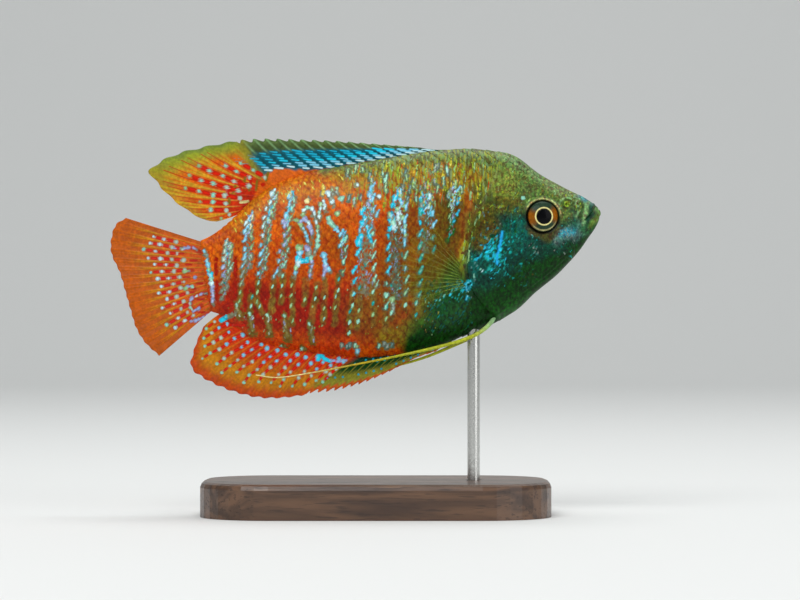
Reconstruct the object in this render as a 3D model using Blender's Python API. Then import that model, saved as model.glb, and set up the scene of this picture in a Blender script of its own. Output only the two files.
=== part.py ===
"""A male dwarf gourami at life size, swimming with its head a little up, on a plain display stand.

The fish is shaped straight in its own frame, in millimetres: +X from the tail to the snout, +Y to its
left side, +Z to its back. Its tail is then bent a little to the left, the whole fish is pitched head up
and lifted over the stand. The model's origin is on the floor, under the middle of its length.
"""

import math

import bmesh
import bpy
import numpy as np
from mathutils import Matrix

MM = 0.001
GAP = 0.3

PITCH = math.radians(8.0)
FISH_HEIGHT = 36.2
TAIL_BEND = 3.2
TAIL_BEND_START = 5.0
TAIL_BEND_LENGTH = 39.5

# Cross-sections from the tail's root to the snout: place along the body, height of the back, of the
# belly and of the widest point, half width there, then how sharp the back and the belly are
# (1 is an ellipse, more is a keel, less is flatter).
SECTIONS = np.array([
    (-21.6, 6.3, -4.0, 1.2, 0.70, 1.00, 1.00),
    (-20.0, 6.8, -5.1, 1.0, 1.05, 1.00, 1.00),
    (-18.0, 7.8, -7.2, 0.6, 1.50, 1.05, 1.05),
    (-16.0, 9.1, -8.9, 0.4, 1.95, 1.10, 1.10),
    (-13.0, 11.2, -10.4, 0.3, 2.60, 1.20, 1.20),
    (-9.0, 13.0, -11.7, 0.2, 3.30, 1.25, 1.25),
    (-5.0, 13.8, -12.9, 0.2, 3.85, 1.25, 1.30),
    (0.0, 14.0, -13.8, 0.3, 4.35, 1.25, 1.30),
    (5.0, 14.2, -14.0, 0.5, 4.70, 1.20, 1.30),
    (10.0, 14.3, -13.6, 0.8, 4.85, 1.15, 1.30),
    (14.0, 14.3, -12.7, 1.2, 4.90, 1.10, 1.25),
    (18.0, 14.0, -11.7, 1.4, 4.75, 1.05, 1.20),
    (22.0, 13.1, -10.0, 1.7, 4.40, 1.00, 1.15),
    (25.0, 11.85, -7.9, 2.1, 4.05, 0.95, 1.10),
    (28.0, 8.85, -6.1, 2.5, 3.60, 0.90, 1.05),
    (30.0, 7.3, -4.6, 2.5, 3.15, 0.90, 1.00),
    (32.0, 5.85, -2.9, 2.5, 2.60, 0.90, 1.00),
    (33.5, 4.85, -1.3, 2.4, 2.05, 0.90, 1.00),
    (34.6, 3.9, -0.1, 2.3, 1.45, 0.90, 1.00),
    (35.3, 3.2, 0.9, 2.1, 0.85, 1.00, 1.00),
    (35.6, 2.6, 1.7, 2.15, 0.35, 1.00, 1.00),
])
RINGS_PER_SECTION = 2
RING_SIDE = 12

# Edges drawn from the side, in the fish's frame, as (x, z) points.
GILL_EDGE = [(23.0, 16.5), (22.2, 10.5), (20.3, 7.3), (18.6, 4.9), (17.2, 2.2), (16.2, -0.6), (15.7, -3.3),
             (15.9, -6.0), (17.2, -8.6), (19.2, -10.9), (21.5, -14.0)]
GILL_COVER_FRONT = [(18.0, -8.9), (20.2, -7.8), (21.6, -5.6), (22.3, -2.8), (22.6, 0.2), (22.3, 3.0),
                    (21.2, 4.9), (19.4, 5.2)]
GAPE_AHEAD = (36.4, 4.5)
GAPE = [(35.2, 3.15), (34.8, 2.7), (34.3, 2.1), (33.65, 1.6), (32.9, 1.25)]
JAW_CUT = [(32.9, 1.25), (32.3, 0.2), (31.7, -1.4), (31.3, -3.4), (31.0, -7.0)]
TAIL_CUT = [(-17.6, 16.0), (-17.2, 6.0), (-17.0, 0.0), (-17.3, -6.0), (-18.0, -14.0)]

EYE_X, EYE_Z = 27.4, 2.7
EYE_RADIUS = 2.25
EYE_DEPTH_RADIUS = 1.1
EYE_BULGE = 0.7
EYE_TURN = math.radians(11.0)
RIM_THICKNESS = 0.36
RIM_OFFSET = 0.22
RIM_SINK = 0.20

LIP_FRONT, LIP_END = 0.30, 0.18
LIP_OFFSET, LIP_SINK = 0.36, 0.10
UPPER_LIP_SETBACK, LOWER_LIP_SETBACK = 0.36, -0.15
FRONT_NOSTRIL, REAR_NOSTRIL = (32.7, 3.85), (31.1, 4.0)
NOSTRIL_TUBE_RADIUS, NOSTRIL_TUBE_HEIGHT = 0.42, 0.5
FRONT_PIT_RADIUS, FRONT_PIT_DEPTH = 0.22, 0.95
REAR_PIT_RADIUS, REAR_PIT_DEPTH = 0.38, 0.8
PIT_LIFT = 0.4

GILL_COVER_PROUD = 0.28
GILL_COVER_DEPTH = 0.6
GILL_COVER_INNER = 1.0

MEMBRANE = 0.5
RIDGE = 0.42
ROOT_DEPTH = 1.2
RIDGE_SHARE = 0.24
TIP_THINNING = 0.35
SOFT_NOTCH = 0.025

FEELER_ROOT_RADIUS = 0.38
FEELER_TIP_RADIUS = 0.16

BASE_LENGTH, BASE_WIDTH, BASE_THICKNESS = 50.0, 28.0, 5.0
BASE_CENTRE_X = 3.0
BASE_CORNER, BASE_EDGE = 10.0, 0.8
ROD_X, ROD_RADIUS = 17.0, 0.9
ROD_TOP, ROD_FOOT = 29.6, 1.3

# Beyond the fish on every side, for blocks that cut it.
CLEAR_SIDE, CLEAR_FRONT, CLEAR_REAR, CLEAR_BACK, CLEAR_BELLY = 15.0, 40.0, -30.0, 17.0, -14.0

COLOURS = {
    "skin_head": (0.11, 0.19, 0.11, 0.35),
    "skin_body": (0.72, 0.20, 0.05, 0.40),
    "gill": (0.03, 0.28, 0.27, 0.30),
    "fin_red": (0.80, 0.22, 0.04, 0.45),
    "fin_blue": (0.06, 0.35, 0.48, 0.40),
    "fin_clear": (0.55, 0.50, 0.28, 0.40),
    "feeler": (0.72, 0.62, 0.10, 0.45),
    "eye": (0.04, 0.03, 0.02, 0.10),
    "wood": (0.16, 0.08, 0.045, 0.45),
    "steel": (0.62, 0.62, 0.60, 0.25),
}


def material(name):
    """The Principled material of that name, made once."""
    found = bpy.data.materials.get(name)
    if found:
        return found
    made = bpy.data.materials.new(name)
    made.use_nodes = True
    shader = made.node_tree.nodes["Principled BSDF"]
    red, green, blue, roughness = COLOURS[name]
    shader.inputs["Base Color"].default_value = (red, green, blue, 1.0)
    shader.inputs["Roughness"].default_value = roughness
    shader.inputs["Metallic"].default_value = 1.0 if name == "steel" else 0.0
    return made


def mesh_object(name, points, faces, collection="helpers"):
    """A mesh object from points in millimetres."""
    mesh = bpy.data.meshes.new(name)
    mesh.from_pydata((np.asarray(points) * MM).tolist(), [], faces)
    mesh.update()
    made = bpy.data.objects.new(name, mesh)
    bpy.data.collections[collection].objects.link(made)
    return made


def bake(obj):
    """Replaces the object's mesh with what its modifiers make of it."""
    graph = bpy.context.evaluated_depsgraph_get()
    mesh = bpy.data.meshes.new_from_object(obj.evaluated_get(graph))
    obj.modifiers.clear()
    obj.data = mesh


def boolean(target, operation, other):
    """Joins, cuts or intersects target with an object, or with a collection that is then emptied."""
    step = target.modifiers.new(operation.lower(), "BOOLEAN")
    step.operation = operation
    step.solver = "EXACT"
    if isinstance(other, bpy.types.Collection):
        step.operand_type = "COLLECTION"
        step.collection = other
    else:
        step.object = other
    bake(target)
    if isinstance(other, bpy.types.Collection):
        for piece in list(other.objects):
            bpy.data.objects.remove(piece)


def copy_of(obj, name):
    """A second helper with the same mesh."""
    made = bpy.data.objects.new(name, obj.data.copy())
    made.matrix_world = obj.matrix_world.copy()
    bpy.data.collections["helpers"].objects.link(made)
    return made


def keep_largest(obj):
    """Keeps the connected surface with the most volume, and triangulates it."""
    shape = bmesh.new()
    shape.from_mesh(obj.data)
    bmesh.ops.remove_doubles(shape, verts=shape.verts, dist=1e-8)
    bmesh.ops.triangulate(shape, faces=shape.faces)
    left, bodies = set(shape.faces), []
    while left:
        island, edge = set(), [left.pop()]
        while edge:
            face = edge.pop()
            island.add(face)
            for near in {other for side in face.edges for other in side.link_faces} & left:
                left.discard(near)
                edge.append(near)
        bodies.append(island)

    def volume(island):
        return sum(f.verts[0].co.dot(f.verts[1].co.cross(f.verts[2].co)) for f in island)

    bodies.sort(key=volume)
    bmesh.ops.delete(shape, geom=[f for island in bodies[:-1] for f in island], context="FACES")
    shape.to_mesh(obj.data)
    shape.free()


def smooth_path(points, count):
    """count points along a Catmull-Rom curve through the given ones."""
    nodes = np.asarray(points, float)
    padded = np.vstack([2 * nodes[0] - nodes[1], nodes, 2 * nodes[-1] - nodes[-2]])
    place = np.linspace(0, len(nodes) - 1, count)
    index = np.minimum(place.astype(int), len(nodes) - 2)
    t = (place - index)[:, None]
    before, start, end, after = (padded[index + k] for k in range(4))
    return 0.5 * (2 * start + (end - before) * t + (2 * before - 5 * start + 4 * end - after) * t**2
                  + (3 * start - before - 3 * end + after) * t**3)


def even_path(points, count):
    """Like smooth_path, with the points spaced evenly along the curve."""
    fine = smooth_path(points, 40 * len(points))
    along = np.concatenate([[0], np.cumsum(np.linalg.norm(np.diff(fine, axis=0), axis=1))])
    wanted = np.linspace(0, along[-1], count)
    return np.stack([np.interp(wanted, along, axis) for axis in fine.T], axis=1)


DENSE_SECTIONS = smooth_path(SECTIONS, 400)


def section_at(x):
    """The cross-section's sizes at a place along the body."""
    return [np.interp(x, DENSE_SECTIONS[:, 0], column) for column in DENSE_SECTIONS[:, 1:].T]


def side_at(x, z):
    """The half width of the body at a place and height."""
    back, belly, widest, half, back_edge, belly_edge = section_at(x)
    rise = (z - widest) / (back - widest) if z > widest else (widest - z) / (widest - belly)
    cosine = math.sqrt(max(0.0, 1 - rise * rise))
    return half * cosine ** (back_edge if z > widest else belly_edge)


def body(name, grow=0.0):
    """The whole body from the tail's root to the snout, as one closed loft, grown by that much."""
    rings = smooth_path(SECTIONS, RINGS_PER_SECTION * (len(SECTIONS) - 1) + 1)
    angle = np.linspace(-math.pi / 2, math.pi / 2, RING_SIDE + 1)
    lift, spread = np.sin(angle), np.maximum(np.cos(angle), 0.0)
    points = []
    for number, (x, back, belly, widest, half, back_edge, belly_edge) in enumerate(rings):
        x += grow if number == len(rings) - 1 else -grow if number == 0 else 0.0
        reach = np.where(lift > 0, back + grow - widest, widest - belly + grow)
        z = widest + reach * lift
        y = max(half + grow, 0.1) * spread ** np.where(lift > 0, back_edge, belly_edge)
        left = [(x, wide, high) for wide, high in zip(y, z)]
        right = [(x, -wide, high) for wide, high in zip(y[-2:0:-1], z[-2:0:-1])]
        points += left + right
    around = 2 * RING_SIDE
    faces = []
    for ring in range(len(rings) - 1):
        for k in range(around):
            a, b = ring * around + k, ring * around + (k + 1) % around
            faces += [(a, a + around, b + around), (a, b + around, b)]
    faces.append(tuple(range(around)))
    faces.append(tuple(reversed(range((len(rings) - 1) * around, len(rings) * around))))
    made = mesh_object(name, points, faces)
    face_outwards(made)
    return made


def face_outwards(obj):
    """Triangulates the mesh and turns its faces out."""
    shape = bmesh.new()
    shape.from_mesh(obj.data)
    bmesh.ops.triangulate(shape, faces=shape.faces)
    shape.normal_update()
    bmesh.ops.recalc_face_normals(shape, faces=shape.faces)
    if shape.calc_volume(signed=True) < 0:
        bmesh.ops.reverse_faces(shape, faces=shape.faces)
    shape.to_mesh(obj.data)
    shape.free()


def mesh_of_curve(name, curve, matrix=None):
    """A closed mesh object from a curve, with its caps welded on."""
    wire = bpy.data.objects.new(name, curve)
    bpy.data.collections["helpers"].objects.link(wire)
    if matrix:
        wire.matrix_world = matrix
    bpy.context.view_layer.update()
    graph = bpy.context.evaluated_depsgraph_get()
    mesh = bpy.data.meshes.new_from_object(wire.evaluated_get(graph))
    mesh.transform(wire.matrix_world)
    bpy.data.objects.remove(wire)
    shape = bmesh.new()
    shape.from_mesh(mesh)
    bmesh.ops.remove_doubles(shape, verts=shape.verts, dist=1e-7)
    shape.to_mesh(mesh)
    shape.free()
    made = bpy.data.objects.new(name, mesh)
    bpy.data.collections["helpers"].objects.link(made)
    face_outwards(made)
    return made


def outline_block(name, outline, low=-CLEAR_SIDE, high=CLEAR_SIDE):
    """A closed block with that outline seen from the side, from y low to y high."""
    curve = bpy.data.curves.new(name, "CURVE")
    curve.dimensions = "2D"
    curve.fill_mode = "BOTH"
    curve.extrude = (high - low) / 2 * MM
    line = curve.splines.new("POLY")
    line.points.add(len(outline) - 1)
    for point, (x, z) in zip(line.points, outline):
        point.co = (x * MM, z * MM, 0.0, 1.0)
    line.use_cyclic_u = True
    middle = Matrix.Translation((0, (low + high) / 2 * MM, 0))
    return mesh_of_curve(name, curve, middle @ Matrix.Rotation(math.pi / 2, 4, "X"))


def shifted(path, distance):
    """A side view path moved sideways, to the right of its direction."""
    path = np.asarray(path)
    ahead = np.gradient(path, axis=0)
    ahead /= np.linalg.norm(ahead, axis=1)[:, None]
    return path + distance * np.stack([ahead[:, 1], -ahead[:, 0]], axis=1)


def bent(points):
    """Points with the tail's curve to the left added."""
    points = np.array(points, float)
    behind = np.maximum(TAIL_BEND_START - points[:, 0], 0) / TAIL_BEND_LENGTH
    points[:, 1] += TAIL_BEND * behind**2
    return points


def finish_node(obj, name, slot, smooth_angle=35.0):
    """Names a fish node, bends it with the tail, gives it its material and hangs it on the pose."""
    keep_largest(obj)
    points = np.array([v.co for v in obj.data.vertices]) / MM
    obj.data.vertices.foreach_set("co", (bent(points) * MM).ravel())
    obj.data.update()
    settle(obj, name, slot, smooth_angle)
    obj.parent = bpy.data.objects["fish_pose"]


def take_in(obj, collection):
    """Moves an object to that collection."""
    for owner in obj.users_collection:
        owner.objects.unlink(obj)
    bpy.data.collections[collection].objects.link(obj)


def settle(obj, name, slot, smooth_angle=35.0):
    """Moves a finished object to the model's collection, named and with its material."""
    obj.name = obj.data.name = name
    take_in(obj, "dwarf_gourami")
    obj.data.materials.clear()
    obj.data.materials.append(material(slot))
    obj.data.shade_smooth()
    obj.data.set_sharp_from_angle(angle=math.radians(smooth_angle))


def tube(name, path, radii, sides=8):
    """A closed tapered tube along points in millimetres, as a mesh."""
    curve = bpy.data.curves.new(name, "CURVE")
    curve.dimensions = "3D"
    curve.bevel_depth = MM
    curve.bevel_resolution = sides // 2 - 2
    curve.use_fill_caps = True
    line = curve.splines.new("POLY")
    line.points.add(len(path) - 1)
    for point, place, radius in zip(line.points, path, radii):
        point.co = (*(np.asarray(place) * MM), 1.0)
        point.radius = radius
    return mesh_of_curve(name, curve)


def ellipsoid(name, centre, radii, turn=0.0, segments=20, rings=11):
    """A closed ellipsoid, turned about the vertical, in millimetres."""
    shape = bmesh.new()
    bmesh.ops.create_uvsphere(shape, u_segments=segments, v_segments=rings, radius=1.0)
    points = np.array([v.co for v in shape.verts])[:, [0, 2, 1]] * radii
    points = points @ turn_matrix(turn).T + centre
    for vertex, place in zip(shape.verts, points * MM):
        vertex.co = place
    mesh = bpy.data.meshes.new(name)
    shape.to_mesh(mesh)
    shape.free()
    made = bpy.data.objects.new(name, mesh)
    bpy.data.collections["helpers"].objects.link(made)
    face_outwards(made)
    return made


def turn_matrix(angle):
    """Rotation about the vertical axis."""
    c, s = math.cos(angle), math.sin(angle)
    return np.array([(c, -s, 0), (s, c, 0), (0, 0, 1)])


def eye_centre(side):
    """The middle of an eyeball. side is 1 on the left and -1 on the right."""
    return np.array([EYE_X, side * (side_at(EYE_X, EYE_Z) + EYE_BULGE - EYE_DEPTH_RADIUS), EYE_Z])


def eyeball(name, side, grow=0.0):
    """One eyeball, or its socket when grown."""
    radii = np.array([EYE_RADIUS, EYE_DEPTH_RADIUS, EYE_RADIUS]) + grow
    return ellipsoid(name, eye_centre(side), radii, -side * EYE_TURN)


def orbit_rim(side):
    """The low ring of skin round an eye."""
    bpy.ops.mesh.primitive_torus_add(major_radius=(EYE_RADIUS + GAP + RIM_OFFSET) * MM,
                                     minor_radius=RIM_THICKNESS * MM, major_segments=28, minor_segments=8)
    rim = bpy.context.object
    sink = np.array([0.0, side * (EYE_DEPTH_RADIUS - EYE_BULGE - RIM_SINK), 0.0])
    place = Matrix.Translation((eye_centre(side) + sink) * MM)
    rim.data.transform(place @ Matrix.Rotation(-side * EYE_TURN, 4, "Z") @ Matrix.Rotation(math.pi / 2, 4, "X"))
    take_in(rim, "helpers")
    face_outwards(rim)
    return rim


def lip(name, offset, setback):
    """A lip along the gape from corner to corner, moved up by offset and back by setback."""
    half = []
    for x, z in even_path(GAPE, 5) + (-setback, offset):
        half.append((x, max(side_at(x, z) - LIP_SINK, 0.0), z))
    front = (half[0][0] + LIP_SINK, 0.0, half[0][2])
    path = even_path([(x, -y, z) for x, y, z in reversed(half)] + [front] + half, 15)
    radii = LIP_END + (LIP_FRONT - LIP_END) * np.sin(np.linspace(0, math.pi, len(path)))
    return tube(name, path, radii)


def mouth_cut(shift):
    """The cut that parts the lower jaw from the head, moved by that much."""
    return shifted([GAPE_AHEAD, *even_path(GAPE, 7), *even_path(JAW_CUT, 8)[1:]], shift)


def join(target, pieces):
    """Fuses pieces to the target in one union."""
    additions = bpy.data.collections["additions"]
    for piece in pieces:
        take_in(piece, "additions")
    boolean(target, "UNION", additions)


def build_head(whole):
    """The head without gill covers, jaw and eyes, with its upper lip, orbit rims and nostrils."""
    gill = shifted(even_path(GILL_EDGE, 18), -GAP / 2)
    head = copy_of(whole, "head_work")
    region = [*gill, *mouth_cut(GAP / 2)[::-1], (CLEAR_FRONT, CLEAR_BACK)]
    boolean(head, "INTERSECT", outline_block("head_region", region))
    cut_gill_pockets(head)
    x, z = FRONT_NOSTRIL
    radii = (NOSTRIL_TUBE_RADIUS, NOSTRIL_TUBE_HEIGHT, NOSTRIL_TUBE_RADIUS)
    tubes = [ellipsoid("nostril_tube", (x, side * side_at(x, z), z), radii, 0.0, 10, 7) for side in (-1, 1)]
    join(head, [orbit_rim(-1), orbit_rim(1), lip("upper_lip", LIP_OFFSET, UPPER_LIP_SETBACK), *tubes])
    pits = ((FRONT_NOSTRIL, FRONT_PIT_RADIUS, FRONT_PIT_DEPTH), (REAR_NOSTRIL, REAR_PIT_RADIUS, REAR_PIT_DEPTH))
    for side in (-1, 1):
        boolean(head, "DIFFERENCE", eyeball("socket", side, GAP))
        for (x, z), radius, deep in pits:
            pit = (x, side * (side_at(x, z) + PIT_LIFT), z)
            boolean(head, "DIFFERENCE", ellipsoid("pit", pit, (radius, deep, radius), 0.0, 10, 7))
    finish_node(head, "head", "skin_head")


def gill_outline(grow):
    """The outline of a gill cover from the side, grown at its front and ends."""
    front = shifted(even_path(GILL_COVER_FRONT, 10), grow)
    rear = [point for point in even_path(GILL_EDGE, 26) if front[0][1] < point[1] < front[-1][1]]
    rear = shifted(rear, -GAP / 2 + grow)
    return [*front, *rear]


def cut_gill_pockets(head):
    """Sinks the pockets that the gill covers lie in."""
    core = body("pocket_floor", -GILL_COVER_DEPTH - GAP)
    for side in (-1, 1):
        low, high = sorted((side * GILL_COVER_INNER, side * CLEAR_SIDE))
        pocket = outline_block("pocket", gill_outline(GAP), low, high)
        boolean(pocket, "DIFFERENCE", core)
        boolean(head, "DIFFERENCE", pocket)


def build_gill_covers():
    """The two gill covers, standing a little proud of the head."""
    core = body("cover_floor", -GILL_COVER_DEPTH)
    for side, name in ((-1, "gill_cover_right"), (1, "gill_cover_left")):
        low, high = sorted((side * (GILL_COVER_INNER + GAP), side * CLEAR_SIDE))
        cover = body(name + "_work", GILL_COVER_PROUD)
        boolean(cover, "INTERSECT", outline_block("cover_region", gill_outline(0.0), low, high))
        boolean(cover, "DIFFERENCE", core)
        finish_node(cover, name, "gill")


def build_jaw(whole):
    """The lower jaw with its lip."""
    jaw = copy_of(whole, "jaw_work")
    region = [*mouth_cut(-GAP / 2), (CLEAR_FRONT, JAW_CUT[-1][1])]
    boolean(jaw, "INTERSECT", outline_block("jaw_region", region))
    join(jaw, [lip("lower_lip", -LIP_OFFSET, LOWER_LIP_SETBACK)])
    finish_node(jaw, "lower_jaw", "skin_head")


def build_torso(whole):
    """The trunk between the gill edge and the tail stalk, with a socket for the stand's rod."""
    gill = shifted(even_path(GILL_EDGE, 18), GAP / 2)
    tail = shifted(even_path(TAIL_CUT, 8), -GAP / 2)
    torso = copy_of(whole, "torso_work")
    boolean(torso, "INTERSECT", outline_block("torso_region", [*gill, *tail[::-1]]))
    finish_node(torso, "torso", "skin_body")
    socket = cylinder("rod_socket", ROD_RADIUS + GAP, ROD_FOOT, ROD_TOP + GAP)
    bpy.context.view_layer.update()
    boolean(torso, "DIFFERENCE", socket)
    keep_largest(torso)


def build_tail_stalk(whole):
    """The short stalk that carries the tail fin."""
    tail = shifted(even_path(TAIL_CUT, 8), GAP / 2)
    stalk = copy_of(whole, "stalk_work")
    region = [*tail, (CLEAR_REAR, CLEAR_BELLY), (CLEAR_REAR, CLEAR_BACK)]
    boolean(stalk, "INTERSECT", outline_block("stalk_region", region))
    finish_node(stalk, "tail_stalk", "skin_body")


def build_eyes():
    """The two eyeballs."""
    for side, name in ((-1, "eye_right"), (1, "eye_left")):
        finish_node(eyeball(name + "_work", side), name, "eye", 80.0)


def fin_mesh(name, roots, tips, rows, lean, bow=0.0, notch=0.0, ridge=RIDGE):
    """A closed fin sheet with one ridge for each ray, from matching root and tip points (x, z).

    bow curves the rays, notch cuts the margin between them, and lean(share, v) moves the sheet in y.
    Both faces have the same triangles.
    """
    count = len(roots)
    columns = []
    for ray in range(count):
        for offset in (-RIDGE_SHARE, 0.0, RIDGE_SHARE):
            place = ray + offset
            if 0 <= place <= count - 1:
                columns.append((place, offset == 0.0))
    numbers = np.arange(count)
    steps = np.linspace(0, 1, rows)
    front, back = [], []
    for place, crest in columns:
        root = np.array([np.interp(place, numbers, axis) for axis in np.transpose(roots)])
        tip = np.array([np.interp(place, numbers, axis) for axis in np.transpose(tips)])
        short = np.broadcast_to(notch, count)[int(place + 0.5)]
        span = (tip - root) * (1.0 if crest else 1.0 - short)
        across = np.array([-span[1], span[0]])
        for v in steps:
            x, z = root + span * v + across * bow * 4 * v * (1 - v)
            middle = lean(place / (count - 1), v)
            half = MEMBRANE / 2 * (1 - TIP_THINNING * v)
            if crest:
                half += ridge / 2 * (1 - v) ** 0.6
            front.append((x, middle + half, z))
            back.append((x, middle - half, z))
    wide, tall = len(columns), rows
    under = wide * tall
    faces = []
    for c in range(wide - 1):
        for r in range(tall - 1):
            a, b = c * tall + r, (c + 1) * tall + r
            faces += [(a, b, b + 1), (a, b + 1, a + 1)]
            faces += [(under + a, under + b + 1, under + b), (under + a, under + a + 1, under + b + 1)]
    border = [c * tall for c in range(wide)] + [(wide - 1) * tall + r for r in range(1, tall)]
    border += [c * tall + tall - 1 for c in range(wide - 2, -1, -1)] + list(range(tall - 2, 0, -1))
    for k, a in enumerate(border):
        b = border[(k + 1) % len(border)]
        faces += [(a, under + a, under + b), (a, under + b, b)]
    made = mesh_object(name, front + back, faces)
    face_outwards(made)
    return made


def inward_roots(path, target, depth):
    """Root points on a path, each sunk by depth away from its tip."""
    path, target = np.asarray(path, float), np.asarray(target, float)
    away = path - target
    return path + depth * away / np.linalg.norm(away, axis=1)[:, None]


def cut_by_body(fin):
    """Trims a fin's root to the gap off the body's surface."""
    boolean(fin, "DIFFERENCE", body("root_cutter", GAP))


DORSAL_SPINES, DORSAL_SOFT, DORSAL_SPINY_SHARE = 16, 9, 0.72
DORSAL_BASE = [(14.6, 14.3), (8.0, 14.2), (0.0, 14.0), (-6.0, 13.7), (-10.0, 12.7), (-13.0, 11.2), (-15.9, 9.2)]
DORSAL_SPINE_TIPS = [(11.6, 15.0), (6.0, 16.3), (0.0, 17.6), (-5.6, 18.6), (-10.4, 19.4), (-13.6, 19.7)]
DORSAL_SOFT_TIPS = [(-15.6, 19.7), (-19.6, 19.5), (-23.8, 19.0), (-27.6, 17.4), (-26.6, 15.1), (-24.8, 12.6),
                    (-22.4, 10.3), (-20.5, 9.0), (-18.9, 8.6)]
DORSAL_NOTCH, DORSAL_BOW = 0.07, 0.03
DORSAL_WAVE = (0.5, 1.2, 0.4)

ANAL_SPINES, ANAL_SOFT, ANAL_SPINY_SHARE = 17, 14, 0.45
ANAL_BASE = [(12.6, -13.1), (8.0, -13.8), (3.0, -14.0), (-3.0, -13.4), (-9.0, -11.7), (-13.5, -10.2), (-16.8, -8.2),
             (-20.5, -4.8)]
ANAL_SPINE_TIPS = [(9.6, -14.3), (6.4, -14.9), (2.4, -16.3), (-1.4, -17.3), (-5.4, -17.8), (-9.0, -17.7)]
ANAL_SOFT_TIPS = [(-10.2, -17.9), (-13.6, -17.8), (-17.0, -17.2), (-20.8, -15.6), (-24.0, -13.5), (-25.6, -11.7),
                  (-25.1, -9.9), (-24.1, -7.9), (-22.9, -6.1)]
ANAL_NOTCH, ANAL_BOW = 0.09, -0.03
ANAL_WAVE = (0.45, 1.1, 2.0)

TAIL_RAYS = 14
TAIL_NOTCH = 0.02
TAIL_ROOT_DEPTH = 0.4
TAIL_WAVE = (0.7, 1.0, 0.8)
TAIL_BASE = [(-21.2, 5.9), (-21.4, 3.6), (-21.4, 1.2), (-21.2, -1.4), (-20.9, -3.7)]
TAIL_TIPS = [(-31.9, 11.0), (-33.6, 10.2), (-34.6, 8.0), (-34.7, 5.9), (-33.9, 3.4), (-33.4, 0.3), (-33.0, -2.5),
             (-32.6, -5.0), (-31.6, -7.3), (-29.9, -9.4)]


def fin_wave(height, waves, phase):
    """How a fin's sheet swings from side to side, growing towards its margin."""
    return lambda share, v: height * v * v * math.sin(2 * math.pi * waves * share + phase)


def two_part_fin(name, counts, spiny_share, base, spine_tips, soft_tips, spine_notch, bow, wave):
    """A long fin with spines in front and soft rays behind, which share its base by spiny_share."""
    spines, soft = counts
    shares = np.concatenate([np.linspace(0, spiny_share, spines), np.linspace(spiny_share, 1, soft + 1)[1:]])
    fine_base = even_path(base, 200)
    roots = fine_base[np.round(shares * 199).astype(int)]
    tips = np.vstack([even_path(spine_tips, spines), even_path(soft_tips, soft)])
    notch = np.where(np.arange(spines + soft) < spines, spine_notch, SOFT_NOTCH)
    fin = fin_mesh(name, inward_roots(roots, tips, ROOT_DEPTH), tips, 5, wave, bow, notch)
    cut_by_body(fin)
    return fin


def build_dorsal_fin():
    """The long fin of the back: a spiny front, then a soft pointed lobe."""
    fin = two_part_fin("dorsal_work", (DORSAL_SPINES, DORSAL_SOFT), DORSAL_SPINY_SHARE, DORSAL_BASE,
                       DORSAL_SPINE_TIPS, DORSAL_SOFT_TIPS, DORSAL_NOTCH, DORSAL_BOW, fin_wave(*DORSAL_WAVE))
    finish_node(fin, "fin_dorsal", "fin_blue", 25.0)


def build_anal_fin():
    """The long fin of the belly: a low spiny front, then a deep soft lobe."""
    fin = two_part_fin("anal_work", (ANAL_SPINES, ANAL_SOFT), ANAL_SPINY_SHARE, ANAL_BASE,
                       ANAL_SPINE_TIPS, ANAL_SOFT_TIPS, ANAL_NOTCH, ANAL_BOW, fin_wave(*ANAL_WAVE))
    finish_node(fin, "fin_anal", "fin_red", 25.0)


def build_tail_fin():
    """The fan of the tail."""
    roots = even_path(TAIL_BASE, TAIL_RAYS)
    tips = even_path(TAIL_TIPS, TAIL_RAYS)
    fin = fin_mesh("tail_fin_work", inward_roots(roots, tips, TAIL_ROOT_DEPTH), tips, 6, fin_wave(*TAIL_WAVE),
                   notch=TAIL_NOTCH)
    cut_by_body(fin)
    finish_node(fin, "fin_tail", "fin_red", 25.0)


PECTORAL_RAYS = 10
PECTORAL_ROOT = (15.2, -4.3)
PECTORAL_ROOT_HEIGHT = 2.6
PECTORAL_LENGTH = 9.0
PECTORAL_LENGTH_VARIES, PECTORAL_LENGTH_PHASE, PECTORAL_LENGTH_SPREAD = 0.20, 0.15, 0.75
PECTORAL_FIRST, PECTORAL_LAST = math.radians(118.0), math.radians(196.0)
PECTORAL_OUT = 2.4
PECTORAL_OUT_POWER = 2.2
PECTORAL_TWIST, PECTORAL_FLAT_SHARE = 0.5, 0.3
PECTORAL_NOTCH, PECTORAL_RIDGE = 0.03, 0.3
PECTORAL_SINK = 0.1
PECTORAL_ROOT_CURVE = 0.25


def pectoral_lean(side, start):
    """The sheet leaves the flank steeply and then runs back beside it, its lower rays nearer the flank."""
    return lambda share, v: side * (start + PECTORAL_OUT * (1 - (1 - v) ** PECTORAL_OUT_POWER)
                                    - PECTORAL_TWIST * v * v * (share - PECTORAL_FLAT_SHARE))


def pectoral_length(share):
    """The rays' lengths, longest a little over the middle."""
    rise = np.sin(math.pi * (PECTORAL_LENGTH_PHASE + PECTORAL_LENGTH_SPREAD * share))
    return PECTORAL_LENGTH * (1 - PECTORAL_LENGTH_VARIES * (1 - rise))


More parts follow.
